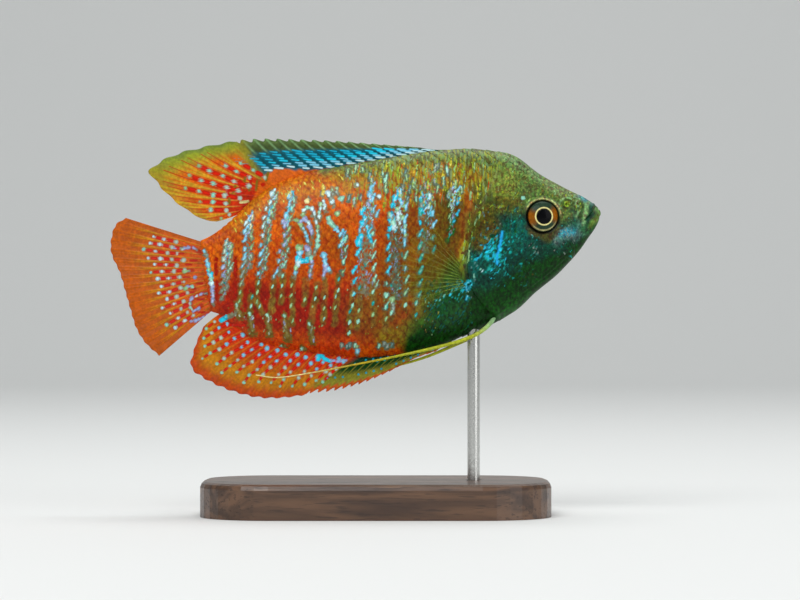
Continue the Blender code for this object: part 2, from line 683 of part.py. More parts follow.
def build_pectoral_fins():
    """The paired fins behind the gill covers, spread back and a little out."""
    share = np.linspace(0, 1, PECTORAL_RAYS)
    turn = PECTORAL_FIRST + (PECTORAL_LAST - PECTORAL_FIRST) * share
    length = pectoral_length(share)
    rise = PECTORAL_ROOT_HEIGHT * (0.5 - share)
    x, z = PECTORAL_ROOT
    roots = np.stack([x - PECTORAL_ROOT_CURVE * np.sin(math.pi * share), z + rise], axis=1)
    tips = roots + np.stack([length * np.cos(turn), length * np.sin(turn)], axis=1)
    start = side_at(x, z) - PECTORAL_SINK
    for side, name in ((-1, "fin_pectoral_right"), (1, "fin_pectoral_left")):
        fin = fin_mesh(name + "_work", roots, tips, 5, pectoral_lean(side, start), notch=PECTORAL_NOTCH,
                       ridge=PECTORAL_RIDGE)
        cut_by_body(fin)
        finish_node(fin, name, "fin_clear", 25.0)


FEELER_RIGHT = [(19.0, 1.0, -9.6), (18.0, 1.45, -11.3), (15.5, 1.75, -12.7), (11.4, 1.6, -13.5), (4.6, 1.4, -14.1),
                (-2.0, 1.3, -14.5), (-8.5, 1.3, -14.8), (-13.2, 1.5, -14.8), (-16.3, 1.9, -14.0)]
FEELER_LEFT = [(19.0, 1.0, -9.6), (18.0, 1.45, -11.3), (15.5, 1.75, -12.8), (12.0, 1.7, -13.9), (8.1, 1.5, -14.9),
               (4.0, 1.4, -15.5), (-2.0, 1.4, -16.0), (-8.0, 1.5, -15.9), (-13.0, 1.8, -15.0)]


def build_feelers():
    """The two thread-like pelvic fins, swept back under the belly."""
    for side, name, route in ((-1, "feeler_right", FEELER_RIGHT), (1, "feeler_left", FEELER_LEFT)):
        path = even_path([(x, side * y, z) for x, y, z in route], 26)
        share = np.linspace(0, 1, len(path))
        radii = FEELER_TIP_RADIUS + (FEELER_ROOT_RADIUS - FEELER_TIP_RADIUS) * (1 - share) ** 0.7
        feeler = tube(name + "_work", path, radii)
        cut_by_body(feeler)
        finish_node(feeler, name, "feeler", 60.0)


def cylinder(name, radius, low, high, sides=24):
    """An upright cylinder at the rod's place, in millimetres over the floor."""
    shape = bmesh.new()
    bmesh.ops.create_cone(shape, cap_ends=True, segments=sides, radius1=radius * MM, radius2=radius * MM,
                          depth=(high - low) * MM)
    bmesh.ops.translate(shape, verts=shape.verts, vec=(ROD_X * MM, 0, (low + high) / 2 * MM))
    mesh = bpy.data.meshes.new(name)
    shape.to_mesh(mesh)
    shape.free()
    made = bpy.data.objects.new(name, mesh)
    bpy.data.collections["helpers"].objects.link(made)
    return made


def build_stand():
    """The flat base and its rod."""
    bpy.ops.mesh.primitive_cube_add(size=1.0)
    base = bpy.context.object
    base.scale = (BASE_LENGTH * MM, BASE_WIDTH * MM, BASE_THICKNESS * MM)
    base.location = (BASE_CENTRE_X * MM, 0, BASE_THICKNESS / 2 * MM)
    bpy.ops.object.transform_apply(location=True, rotation=True, scale=True)
    round_edges(base, BASE_CORNER, 8, upright=True)
    round_edges(base, BASE_EDGE, 2, upright=False)
    bpy.context.view_layer.update()
    boolean(base, "DIFFERENCE", cylinder("rod_hole", ROD_RADIUS + GAP, ROD_FOOT - GAP, BASE_THICKNESS + GAP))
    settle(base, "stand_base", "wood")
    settle(cylinder("rod_work", ROD_RADIUS, ROD_FOOT, ROD_TOP), "stand_rod", "steel")


def round_edges(obj, radius, steps, upright):
    """Rounds the upright edges of a block, or those of its top."""
    shape = bmesh.new()
    shape.from_mesh(obj.data)
    top = max(v.co.z for v in shape.verts)
    chosen = []
    for edge in shape.edges:
        a, b = (v.co for v in edge.verts)
        stands = abs(a.z - b.z) > 0.5 * top
        on_top = min(a.z, b.z) > top - 1e-6
        if stands if upright else on_top:
            chosen.append(edge)
    bmesh.ops.bevel(shape, geom=chosen, offset=radius * MM, segments=steps, profile=0.5, affect="EDGES")
    shape.to_mesh(obj.data)
    shape.free()


def main():
    for obj in list(bpy.data.objects):
        bpy.data.objects.remove(obj)
    for name in ("dwarf_gourami", "helpers", "additions"):
        made = bpy.data.collections.new(name)
        bpy.context.scene.collection.children.link(made)
    pose = bpy.data.objects.new("fish_pose", None)
    bpy.data.collections["dwarf_gourami"].objects.link(pose)
    pose.location = (0, 0, FISH_HEIGHT * MM)
    pose.rotation_euler = (0, -PITCH, 0)
    whole = body("whole_body")
    build_head(whole)
    build_gill_covers()
    build_jaw(whole)
    build_torso(whole)
    build_tail_stalk(whole)
    build_eyes()
    build_dorsal_fin()
    build_anal_fin()
    build_tail_fin()
    build_pectoral_fins()
    build_feelers()
    build_stand()
    for helper in list(bpy.data.collections["helpers"].objects):
        bpy.data.objects.remove(helper)


main()
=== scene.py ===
"""The looks of the dwarf gourami model: skin, scales, fins, eyes, feelers and stand, in a pale studio.

The fish is described straight in its own frame, in millimetres: +X to the snout, +Y to its left side,
+Z to its back. place() then bends the tail, pitches the fish and lifts it over the stand, as the solids
are. Markings are drawn in the side view; their places are read off the photograph in its pixels, and
side_view() and in_photo() turn one into the other.
"""

import math

import bpy
import numpy as np
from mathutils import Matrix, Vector


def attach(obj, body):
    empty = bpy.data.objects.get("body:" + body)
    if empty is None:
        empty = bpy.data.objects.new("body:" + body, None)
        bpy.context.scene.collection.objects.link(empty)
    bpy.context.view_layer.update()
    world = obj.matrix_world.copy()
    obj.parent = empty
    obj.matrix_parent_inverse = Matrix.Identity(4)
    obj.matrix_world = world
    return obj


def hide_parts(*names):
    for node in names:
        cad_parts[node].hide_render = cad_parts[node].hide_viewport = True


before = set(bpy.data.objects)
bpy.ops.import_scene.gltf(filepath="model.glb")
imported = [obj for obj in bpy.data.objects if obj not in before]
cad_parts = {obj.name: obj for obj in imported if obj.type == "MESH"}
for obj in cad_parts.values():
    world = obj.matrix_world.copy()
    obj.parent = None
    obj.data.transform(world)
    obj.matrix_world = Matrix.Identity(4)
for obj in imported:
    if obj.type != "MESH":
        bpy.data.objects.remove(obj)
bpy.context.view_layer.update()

MM = 0.001
PITCH = math.radians(8.0)
FISH_HEIGHT = 36.2
TAIL_BEND, TAIL_BEND_START, TAIL_BEND_LENGTH = 3.2, 5.0, 39.5

# The photograph's scale in millimetres per pixel, and the pixel of the fish frame's origin.
PIXEL = 0.14344
ORIGIN_U, ORIGIN_V = 355.0, 262.0

TAIL_X, SNOUT_X = -21.6, 35.6
# x, back, belly, widest height, half width, sharpness of back and of belly.
SECTIONS = np.array([
    (TAIL_X, 6.3, -4.0, 1.2, 0.70, 1.00, 1.00),
    (-20.0, 6.8, -5.1, 1.0, 1.05, 1.00, 1.00),
    (-18.0, 7.8, -7.2, 0.6, 1.50, 1.05, 1.05),
    (-16.0, 9.1, -8.9, 0.4, 1.95, 1.10, 1.10),
    (-13.0, 11.2, -10.4, 0.3, 2.60, 1.20, 1.20),
    (-9.0, 13.0, -11.7, 0.2, 3.30, 1.25, 1.25),
    (-5.0, 13.8, -12.9, 0.2, 3.85, 1.25, 1.30),
    (0.0, 14.0, -13.8, 0.3, 4.35, 1.25, 1.30),
    (5.0, 14.2, -14.0, 0.5, 4.70, 1.20, 1.30),
    (10.0, 14.3, -13.6, 0.8, 4.85, 1.15, 1.30),
    (14.0, 14.3, -12.7, 1.2, 4.90, 1.10, 1.25),
    (18.0, 14.0, -11.7, 1.4, 4.75, 1.05, 1.20),
    (22.0, 13.1, -10.0, 1.7, 4.40, 1.00, 1.15),
    (25.0, 11.85, -7.9, 2.1, 4.05, 0.95, 1.10),
    (28.0, 8.85, -6.1, 2.5, 3.60, 0.90, 1.05),
    (30.0, 7.3, -4.6, 2.5, 3.15, 0.90, 1.00),
    (32.0, 5.85, -2.9, 2.5, 2.60, 0.90, 1.00),
    (33.5, 4.85, -1.3, 2.4, 2.05, 0.90, 1.00),
    (34.6, 3.9, -0.1, 2.3, 1.45, 0.90, 1.00),
    (35.3, 3.2, 0.9, 2.1, 0.85, 1.00, 1.00),
    (SNOUT_X, 2.6, 1.7, 2.15, 0.35, 1.00, 1.00),
])
GILL_EDGE = [(23.0, 16.5), (22.2, 10.5), (20.3, 7.3), (18.6, 4.9), (17.2, 2.2), (16.2, -0.6), (15.7, -3.3),
             (15.9, -6.0), (17.2, -8.6), (19.2, -10.9), (21.5, -14.0)]
GAPE = [(36.4, 4.5), (35.2, 3.15), (34.8, 2.7), (34.3, 2.1), (33.65, 1.6), (32.9, 1.25)]
LIP_FOLDS = [[(33.4, 3.6), (33.15, 2.9), (32.95, 2.2)], [(32.8, 3.3), (32.65, 2.6), (32.5, 1.9)],
             [(32.1, 2.9), (32.0, 2.1)]]
JAW_FOLD = [(32.9, 1.25), (32.3, 0.2), (31.7, -1.4), (31.3, -3.4)]
EYE_X, EYE_Z = 27.4, 2.7
EYE_RADIUS, EYE_DEPTH_RADIUS, EYE_BULGE = 2.25, 1.1, 0.7
EYE_TURN = math.radians(11.0)
FRONT_NOSTRIL, REAR_NOSTRIL = (32.7, 3.85), (31.1, 4.0)
PECTORAL_ROOT = (15.2, -4.3)
PELVIC_ROOT = (19.0, -9.8)

# Linear colours.
COLOURS = {
    "orange": (0.53, 0.075, 0.001),
    "bright_orange": (0.70, 0.125, 0.002),
    "yellow_orange": (0.56, 0.24, 0.006),
    "tail_orange": (0.53, 0.10, 0.001),
    "red": (0.42, 0.012, 0.001),
    "flame": (0.60, 0.012, 0.001),
    "deep_red": (0.26, 0.004, 0.001),
    "scarlet": (0.58, 0.030, 0.001),
    "tan": (0.21, 0.14, 0.018),
    "olive": (0.125, 0.22, 0.05),
    "olive_yellow": (0.27, 0.25, 0.012),
    "olive_dark": (0.05, 0.085, 0.015),
    "brown": (0.09, 0.07, 0.004),
    "orange_brown": (0.22, 0.075, 0.003),
    "ochre": (0.24, 0.16, 0.006),
    "yellow": (0.62, 0.50, 0.03),
    "thread": (0.42, 0.46, 0.02),
    "pale_yellow": (0.80, 0.72, 0.30),
    "yellow_green": (0.30, 0.46, 0.03),
    "pale_green": (0.27, 0.50, 0.22),
    "mint": (0.26, 0.64, 0.48),
    "sky": (0.18, 0.55, 0.74),
    "cyan": (0.015, 0.54, 0.74),
    "blue": (0.01, 0.30, 0.62),
    "azure": (0.01, 0.38, 0.56),
    "deep_blue": (0.001, 0.105, 0.155),
    "lilac": (0.30, 0.36, 0.60),
    "white_blue": (0.50, 0.74, 0.78),
    "pearl": (0.42, 0.56, 0.46),
    "grey_blue": (0.10, 0.21, 0.20),
    "haze": (0.20, 0.27, 0.22),
    "bar_grey": (0.24, 0.25, 0.15),
    "grey_green": (0.12, 0.19, 0.12),
    "window": (0.24, 0.19, 0.05),
    "teal": (0.001, 0.13, 0.105),
    "bright_teal": (0.004, 0.36, 0.32),
    "teal_dark": (0.0005, 0.045, 0.030),
    "throat": (0.001, 0.040, 0.001),
    "green": (0.01, 0.11, 0.01),
    "deep_green": (0.0005, 0.075, 0.016),
    "black": (0.002, 0.002, 0.003),
    "iris": (0.27, 0.085, 0.004),
}
COLOUR_NAMES = list(COLOURS)
PALETTE = np.array([COLOURS[name] for name in COLOUR_NAMES])


def smoothstep(low, high, value):
    t = np.clip((value - low) / (high - low), 0.0, 1.0)
    return t * t * (3 - 2 * t)


def base_colour(name, count):
    """One colour for each of count points."""
    return np.tile(np.array(COLOURS[name]), (count, 1))


def blend(base, colour, share):
    """Colours moved towards another by a share for each point."""
    target = np.array(COLOURS[colour]) if isinstance(colour, str) else colour
    return base + (target - base) * np.asarray(share)[..., None]


def pairs(first, second):
    """Every pair of a value from each array, as two flat arrays."""
    return [grid.ravel() for grid in np.meshgrid(first, second, indexing="ij")]


def ring_quads(rings, around):
    """The quads between neighbouring rings of that many points around."""
    ring, k = pairs(np.arange(rings - 1), np.arange(around))
    a, b = ring * around + k, ring * around + (k + 1) % around
    return np.stack([a, b, b + around, a + around], axis=1)


def smooth_path(points, count):
    """count points along a Catmull-Rom curve through the given ones."""
    nodes = np.asarray(points, float)
    padded = np.vstack([2 * nodes[0] - nodes[1], nodes, 2 * nodes[-1] - nodes[-2]])
    where = np.linspace(0, len(nodes) - 1, count)
    index = np.minimum(where.astype(int), len(nodes) - 2)
    t = (where - index)[:, None]
    before, start, end, after = (padded[index + k] for k in range(4))
    return 0.5 * (2 * start + (end - before) * t + (2 * before - 5 * start + 4 * end - after) * t**2
                  + (3 * start - before - 3 * end + after) * t**3)


def even_path(points, count):
    """Like smooth_path, with the points spaced evenly along the curve."""
    fine = smooth_path(points, 40 * len(points))
    along = np.concatenate([[0], np.cumsum(np.linalg.norm(np.diff(fine, axis=0), axis=1))])
    wanted = np.linspace(0, along[-1], count)
    return np.stack([np.interp(wanted, along, axis) for axis in fine.T], axis=1)


def in_photo(x, z):
    """Side-view places in the fish's frame as pixels of the photograph."""
    across = x * math.cos(PITCH) - z * math.sin(PITCH)
    up = x * math.sin(PITCH) + z * math.cos(PITCH)
    return ORIGIN_U + across / PIXEL, ORIGIN_V - up / PIXEL


def side_view(u, v):
    """Pixels of the photograph as side-view places in the fish's frame."""
    across, up = (u - ORIGIN_U) * PIXEL, (ORIGIN_V - v) * PIXEL
    return across * math.cos(PITCH) + up * math.sin(PITCH), up * math.cos(PITCH) - across * math.sin(PITCH)


def place(points):
    """Fish-frame millimetres as metres in the model's frame."""
    points = np.array(points, float)
    behind = np.maximum(TAIL_BEND_START - points[..., 0], 0) / TAIL_BEND_LENGTH
    x, y, z = points[..., 0], points[..., 1] + TAIL_BEND * behind**2, points[..., 2]
    c, s = math.cos(PITCH), math.sin(PITCH)
    return np.stack([x * c - z * s, y, x * s + z * c + FISH_HEIGHT], axis=-1) * MM


def random_at(i, j, salt):
    """A repeatable number from 0 to 1 for each pair of whole numbers."""
    value = np.sin(np.asarray(i) * 12.9898 + np.asarray(j) * 78.233 + salt * 37.719) * 43758.5453
    return value - np.floor(value)


def ripple(x, z, size, salt):
    """Smooth noise from 0 to 1 with features of about that size."""
    x, z = np.asarray(x) / size, np.asarray(z) / size
    i, j = np.floor(x), np.floor(z)
    a, b = x - i, z - j
    a, b = a * a * (3 - 2 * a), b * b * (3 - 2 * b)
    low = random_at(i, j, salt) * (1 - a) + random_at(i + 1, j, salt) * a
    high = random_at(i, j + 1, salt) * (1 - a) + random_at(i + 1, j + 1, salt) * a
    return low * (1 - b) + high * b


def path_distance(x, z, path):
    """Distance from each point to a path, both in the side view."""
    best = np.full(np.shape(x), 1e9)
    for (ax, az), (bx, bz) in zip(path[:-1], path[1:]):
        dx, dz = bx - ax, bz - az
        t = np.clip(((x - ax) * dx + (z - az) * dz) / (dx * dx + dz * dz + 1e-12), 0, 1)
        best = np.minimum(best, np.hypot(x - ax - t * dx, z - az - t * dz))
    return best


# The body's surface, from the arc length s along each cross-section: 0 at its widest point, positive
# towards the back.
DENSE_SECTIONS = smooth_path(SECTIONS, 1200)
TABLE_X = np.linspace(SECTIONS[0, 0], SECTIONS[-1, 0], 573)
TABLE_S = np.linspace(-27, 27, 541)


def section_at(x):
    return [np.interp(x, DENSE_SECTIONS[:, 0], column) for column in DENSE_SECTIONS[:, 1:].T]


def ring_point(x, angle):
    """Half width and height of the body at an angle round the cross-section."""
    back, belly, widest, half, back_edge, belly_edge = section_at(x)
    lift, spread = np.sin(angle), np.maximum(np.cos(angle), 0.0)
    upper = lift > 0
    z = widest + np.where(upper, back - widest, widest - belly) * lift
    return half * spread ** np.where(upper, back_edge, belly_edge), z


def arc_tables():
    angle = np.linspace(-math.pi / 2, math.pi / 2, 721)
    y, z = ring_point(TABLE_X[:, None], angle[None, :])
    step = np.hypot(np.diff(y, axis=1), np.diff(z, axis=1))
    arc = np.concatenate([np.zeros((len(TABLE_X), 1)), np.cumsum(step, axis=1)], axis=1)
    arc -= arc[:, 360:361]
    angles = np.stack([np.interp(TABLE_S, row, angle) for row in arc])
    return angles, arc[:, 0], arc[:, -1]


ARC_ANGLE, ARC_LOW, ARC_HIGH = arc_tables()


def arc_limits(x):
    """The arc lengths of the belly's and the back's midline."""
    return np.interp(x, TABLE_X, ARC_LOW), np.interp(x, TABLE_X, ARC_HIGH)


def skin_place(x, s):
    """Half width and height of the body at x and arc length s."""
    i = np.clip((x - TABLE_X[0]) / (TABLE_X[1] - TABLE_X[0]), 0, len(TABLE_X) - 1.001)
    j = np.clip((s - TABLE_S[0]) / (TABLE_S[1] - TABLE_S[0]), 0, len(TABLE_S) - 1.001)
    a, b = i.astype(int), j.astype(int)
    i, j = i - a, j - b
    angle = ((ARC_ANGLE[a, b] * (1 - i) + ARC_ANGLE[a + 1, b] * i) * (1 - j)
             + (ARC_ANGLE[a, b + 1] * (1 - i) + ARC_ANGLE[a + 1, b + 1] * i) * j)
    return ring_point(x, angle)


def skin_frame(x, s):
    """Points and outward normals on the fish's right side (y < 0) at x and arc length s."""
    low, high = arc_limits(x)
    s = np.clip(s, low, high)
    step = 0.06

    def point(px, ps):
        y, z = skin_place(px, ps)
        return np.stack([px, -y, z], axis=-1)

    inner = np.clip(s, low + step, high - step)
    ahead = point(np.minimum(x + step, SNOUT_X), inner) - point(np.maximum(x - step, TAIL_X), inner)
    up = point(x, inner + step) - point(x, inner - step)
    normal = np.cross(ahead, up)
    normal /= np.linalg.norm(normal, axis=-1)[..., None] + 1e-12
    return point(x, s), normal


GILL_FINE = even_path(GILL_EDGE, 120)[::-1]


def ahead_of_gill(x, z):
    """How far a place lies in front of the gill cover's rear edge."""
    return x - np.interp(z, GILL_FINE[:, 1], GILL_FINE[:, 0])


def bump(distance, width):
    return np.exp(-(distance / width) ** 2)


BROW = [(28.9, 4.85), (29.6, 4.45), (29.95, 4.0), (30.1, 3.5)]
PREOPERCLE = [side_view(u, v) for u,
              v in [(512, 214), (511, 230), (510, 248), (505, 272), (496, 292), (484, 308)]]
CHEEK_FOLD = [side_view(u, v) for u, v in [(572, 222), (560, 234), (545, 243), (528, 244), (514, 236)]]
THROAT_FOLDS = [[side_view(u, v) for u, v in path] for path in (
    [(574, 246), (550, 268), (522, 290), (496, 306), (476, 314)],
    [(566, 258), (544, 278), (516, 298), (492, 314)],
)]


def relief(x, z):
    """How far the skin stands out of the plain body, or sinks in, in millimetres."""
    ahead = ahead_of_gill(x, z)
    height = -0.10 * (1 - smoothstep(-0.3, 0.0, ahead))
    height -= 0.05 * smoothstep(0.0, 0.3, ahead) * (1 - smoothstep(26, 29, x))
    opening = smoothstep(-10.8, -9.0, z) * (1 - smoothstep(4.6, 6.6, z))
    height += opening * (0.30 * smoothstep(-0.05, 0.12, ahead) * (1 - 0.8 * smoothstep(0.8, 6.5, ahead)))
    height -= opening * 0.24 * bump(ahead + 0.2, 0.16)
    preopercle = path_distance(x, z, PREOPERCLE)
    height -= 0.11 * bump(preopercle, 0.16)
    height += 0.05 * bump(preopercle - 0.42, 0.25)
    height -= 0.07 * bump(path_distance(x, z, CHEEK_FOLD), 0.18)
    for fold in THROAT_FOLDS:
        height -= 0.07 * bump(path_distance(x, z, fold), 0.15)
    eye = np.hypot((x - EYE_X) / math.cos(EYE_TURN), z - EYE_Z)
    height += -1.15 * (1 - smoothstep(1.95, 2.42, eye)) + 0.13 * bump(eye - 2.66,
                                                                      0.17) - 0.05 * bump(eye - 3.2, 0.2)
    gape = path_distance(x, z, GAPE)
    at_tip = 1 - 0.8 * smoothstep(34.8, 35.3, x)
    height += -0.20 * bump(gape, 0.10) * smoothstep(32.7, 33.4, x) * at_tip
    height += 0.14 * bump(gape - 0.32, 0.17) * smoothstep(32.8, 33.5, x) * at_tip
    for fold in LIP_FOLDS:
        height -= 0.06 * bump(path_distance(x, z, fold), 0.11)
    height -= 0.09 * bump(path_distance(x, z, JAW_FOLD), 0.12)
    front = np.hypot(x - FRONT_NOSTRIL[0], z - FRONT_NOSTRIL[1])
    rear = np.hypot(x - REAR_NOSTRIL[0], z - REAR_NOSTRIL[1])
    height += 0.24 * bump(front, 0.36) - 0.46 * bump(front, 0.17)
    height += 0.10 * bump(rear - 0.34, 0.12) - 0.42 * bump(rear, 0.22)
    height += 0.35 * bump(np.hypot(x - PECTORAL_ROOT[0], (z - PECTORAL_ROOT[1]) * 0.75), 1.1)
    height += 0.30 * bump(np.hypot(x - PELVIC_ROOT[0], z - PELVIC_ROOT[1]), 0.9)
    height += 0.03 * (ripple(x, z, 1.3, 5) - 0.5) * smoothstep(0.0, 1.0, ahead)
    return height


# The scale lattice: columns along the body, which lean forward towards the back, and rows across it.
# Each column is offset by half a row from its neighbours.
COLUMN = 0.68
USUAL_ROW = 1.70
HEAD_COLUMN = 0.52
HEAD_ROW = 1.10
HEAD_LEAN = 0.14
MIDLINE_GAP = 0.35
# Where the rear coat ends and the front one begins.
COAT_SPLIT = 0.5
# A scale's points across, its size, how far its middle lies ahead of its cell's, how high its rear and its
# front edge lie over the skin, its thickness, and how strongly painted shade darkens its rim.
BODY_SCALES = dict(size=12, length=1.90, width=1.98, shift=0.22, lift=0.13, sink=-0.05, thickness=0.09,
                   rim_strength=1.0)
HEAD_SCALES = dict(size=6, length=1.45, width=1.30, shift=0.16, lift=0.07, sink=-0.04, thickness=0.06,
                   rim_strength=0.4)


def row_pitch(x):
    return np.interp(x, [-21.0, -8.0, 8.0, 16.0], [1.10, 1.48, 1.72, 1.66])


def lean(x):
    return 0.14 + 0.10 * smoothstep(0.0, -14.0, x)


def lattice(columns, column, pitch, tilt):
    """Column and half-row numbers of the cells, with their x, arc length and height."""
    half_rows = np.arange(-44, 45)
    c, h = pairs(columns, half_rows)
    even = (c + h) % 2 == 0
    c, h = c[even], h[even]
    start = c * column
    s = h * pitch(start) / 2
    x = start.copy()
    for _ in range(4):
        z = skin_place(x, s)[1]
        x = start + tilt(start) * (z - 1)
    low, high = arc_limits(x)
    inside = (s > low + MIDLINE_GAP) & (s < high - MIDLINE_GAP) & (x > -21.2) & (x < 35)
    return c[inside], h[inside], x[inside], s[inside], z[inside]


def body_cells():
    """The cells of the body's scales, behind the gill cover's edge."""
    c, h, x, s, z = lattice(np.arange(-33, 36), COLUMN, row_pitch, lean)
    keep = ahead_of_gill(x, z) < 0.25
    return c[keep], h[keep], x[keep], s[keep], z[keep]


def head_cells():
    """The cells of the head's scales, clear of the eye, the snout and the folds."""
    c, h, x, s, z = lattice(np.arange(24, 62), HEAD_COLUMN, lambda start: HEAD_ROW, lambda start: HEAD_LEAN)
    ahead = ahead_of_gill(x, z)
    eye = np.hypot(x - EYE_X, z - EYE_Z)
    low = arc_limits(x)[0]
    keep = (ahead > 0.75) & (eye > 3.35) & (x < 29.0 - 0.12 * np.maximum(z - 4, 0)) & (s > low + 2.6)
    keep &= path_distance(x, z, PREOPERCLE) > 0.45
    keep &= (z > -4.0) | (x < 25.5)
    return c[keep], h[keep], x[keep], s[keep], z[keep]


# Marks are capsules in the photograph's pixels: two ends, two radii, the field's top and a colour.
def stroke(path, radius, colour, top=1.0):
    """Capsules along a path. radius may be one number or one for each end."""
    radii = np.linspace(*radius, len(path)) if isinstance(radius, tuple) else np.full(len(path), radius)
    index = COLOUR_NAMES.index(colour)
    return [(*a, *b, ra, rb, top, index) for a, b, ra, rb in zip(path[:-1], path[1:], radii[:-1], radii[1:])]


def dot(u, v, radius, colour, length=0.0, slope=0.0, top=1.0):
    """A round mark, or a leaf-shaped one of that half length, leaning by slope."""
    ends = [(u + slope * length, v - length), (u, v), (u - slope * length, v + length)]
    if length == 0:
        return [(u, v, u, v, radius, radius, top, COLOUR_NAMES.index(colour))]
    index = COLOUR_NAMES.index(colour)
    return [(*ends[0], *ends[1], radius * 0.45, radius, top, index),
            (*ends[1], *ends[2], radius, radius * 0.45, top, index)]


def draw(marks, u, v):
    """The marks' field at each point, 1 on a mark's line, 0 at its edge and less outside, and its colour."""
    order = np.argsort(u)
    us, vs = u[order], v[order]
    field = np.full(len(u), -1.0)
    index = np.zeros(len(u), int)
    for au, av, bu, bv, ra, rb, top, colour in marks:
        reach = 2 * max(ra, rb)
        first = np.searchsorted(us, min(au, bu) - reach)
        last = np.searchsorted(us, max(au, bu) + reach)
        pu, pv = us[first:last], vs[first:last]
        near = np.nonzero((pv > min(av, bv) - reach) & (pv < max(av, bv) + reach))[0]
        if not len(near):
            continue
        pu, pv = pu[near], pv[near]
        du, dv = bu - au, bv - av
        t = np.clip(((pu - au) * du + (pv - av) * dv) / (du * du + dv * dv + 1e-9), 0, 1)
        distance = np.hypot(pu - au - t * du, pv - av - t * dv)
        value = top - distance / (ra + (rb - ra) * t)
        spot = near + first
        better = value > field[spot]
        field[spot[better]] = value[better]
        index[spot[better]] = colour
    back = np.empty(len(u), int)
    back[order] = np.arange(len(u))
    return field[back], PALETTE[index[back]]


# The bars from the tail forwards: the paths of the rear and the front strand of beads from top to bottom, the
# three colours of each on the way down, their radii, and the dull colour between the strands.
BARS = [
    ([(225, 242), (224, 255), (223.5, 268), (222.5, 284), (222.5, 301)],
     [(231, 240), (231, 255), (230, 268), (228, 278), (227, 292)], "pearl lilac haze",
     "pale_green mint haze", 2.0, 1.2, "bar_grey"),
    ([(251, 212), (247, 221), (244.5, 231), (243.7, 240), (245.5, 250), (244.5, 262), (243, 272),
      (241.6, 287)],
     [(254, 212), (252, 227), (251.5, 236), (251, 248), (251, 258), (249, 272)],
     "white_blue sky haze", "pale_yellow pale_green haze", 2.2, 1.2, "bar_grey"),
    ([(274, 191), (270, 202), (266.5, 214), (262, 225), (263, 234), (261, 244), (261.5, 256), (260, 266),
      (258, 279)],
     [(277, 193), (273, 208), (271, 222), (270, 235), (268.5, 248), (267.5, 260), (265, 277)],
     "white_blue white_blue sky", "pale_green pale_green mint", 2.2, 1.2, "bar_grey"),
    ([(290, 191), (289, 204), (285.5, 215), (284.5, 230), (285, 244), (280, 254), (278, 264), (275, 277)],
     [(295, 193), (294, 205), (290.5, 216), (289, 232), (288, 248), (286, 260), (283.5, 273)],
     "sky lilac sky", "mint pale_green mint", 2.3, 1.3, "bar_grey"),
    ([(342, 228), (342, 238), (340, 250), (336.5, 259)],
     [(346, 233), (346.5, 246), (344, 260), (342, 274)], "haze sky cyan", "mint mint pale_green", 2.3, 1.4,
     "grey_green"),
    ([(372, 180), (371, 194), (362, 208), (362, 222), (360, 232), (359, 243), (357.5, 257), (354.5, 270),
      (354, 296)],
     [(374, 190), (371, 205), (376.5, 216), (374, 233), (374, 248), (374, 273), (376, 288)],
     "sky cyan cyan", "sky mint mint", 2.5, 1.7, "bar_grey"),
    ([(396, 190), (393, 205), (391, 220), (389, 235), (388, 258), (388.5, 275), (386, 298), (384.5, 311)],
     [(400, 188), (405, 204), (403.5, 222), (404.5, 242), (404.5, 257), (406, 278), (405.5, 296)],
     "cyan cyan mint", "sky sky mint", 2.5, 1.8, "grey_green"),
    ([(421, 194), (420.5, 214), (418, 240), (420, 262), (419.5, 282), (417, 300), (416, 314)],
     [(430, 188), (430, 205), (433, 220), (432, 251)], "cyan bright_teal bright_teal",
     "white_blue sky bright_teal",
     2.3, 1.8, "grey_green"),
    ([(457, 184), (456, 202), (455, 220), (450, 238)],
     [(447, 186), (449, 204), (449, 228), (446, 246)], "sky azure green", "haze pale_green green", 1.9,
     1.2, "olive_dark"),
]
LOOPS = [
    # Broken loops and hooks between the rear bars and the front ones.
    ([(303.5, 215), (305, 210), (309, 207.5), (313.5, 209.5), (316, 217), (318, 226)], (2.0, 1.7),
     "white_blue"),
    ([(297, 220), (301, 222), (305.5, 219), (309, 224), (312, 230), (313, 236)], (2.3, 1.9), "lilac"),
    ([(301.5, 224), (306, 233), (308.5, 240), (311, 244)], (1.8, 1.6), "sky"),
    ([(318, 226), (319, 236), (317.5, 246), (314, 254)], (1.7, 2.0), "mint"),
    ([(300.5, 248), (299.5, 258), (297.5, 266), (295, 277)], (2.8, 1.7), "sky"),
    ([(299.5, 258), (305, 262), (308, 256)], (2.6, 2.4), "cyan"),
    ([(308, 249), (311, 257), (312, 266), (310, 279)], (2.8, 1.5), "lilac"),
    ([(325, 256), (327, 266), (331, 272)], (2.3, 1.8), "sky"),
    ([(327, 266), (324, 277)], (2.5, 1.8), "lilac"),
    ([(321, 204), (320, 213), (321, 220)], (1.5, 1.9), "white_blue"),
    ([(323.5, 188), (322.5, 196)], 1.6, "yellow"),
    ([(323.5, 201), (326, 212)], 1.4, "white_blue"),
    ([(328, 193), (331, 200), (334, 206)], (2.2, 1.5), "white_blue"),
    ([(333, 189), (333, 198)], 1.3, "mint"),
    ([(336.5, 188), (339, 196)], 1.7, "white_blue"),
    ([(342, 199), (342.5, 201)], 2.8, "mint"),
    ([(337, 214), (339, 213)], 2.1, "white_blue"),
    ([(329, 218), (332, 224), (337, 229)], (2.2, 1.8), "mint"),
    ([(337, 229), (341, 233)], 2.2, "sky"),
    ([(308, 201), (309, 199)], 2.0, "pale_yellow"),
    ([(314, 211), (313, 216)], 1.2, "lilac"),
    ([(355, 199), (355, 206)], 1.6, "mint"),
    ([(357, 185), (358, 186)], 2.0, "white_blue"),
    ([(379, 197), (379, 198)], 1.8, "white_blue"),
]
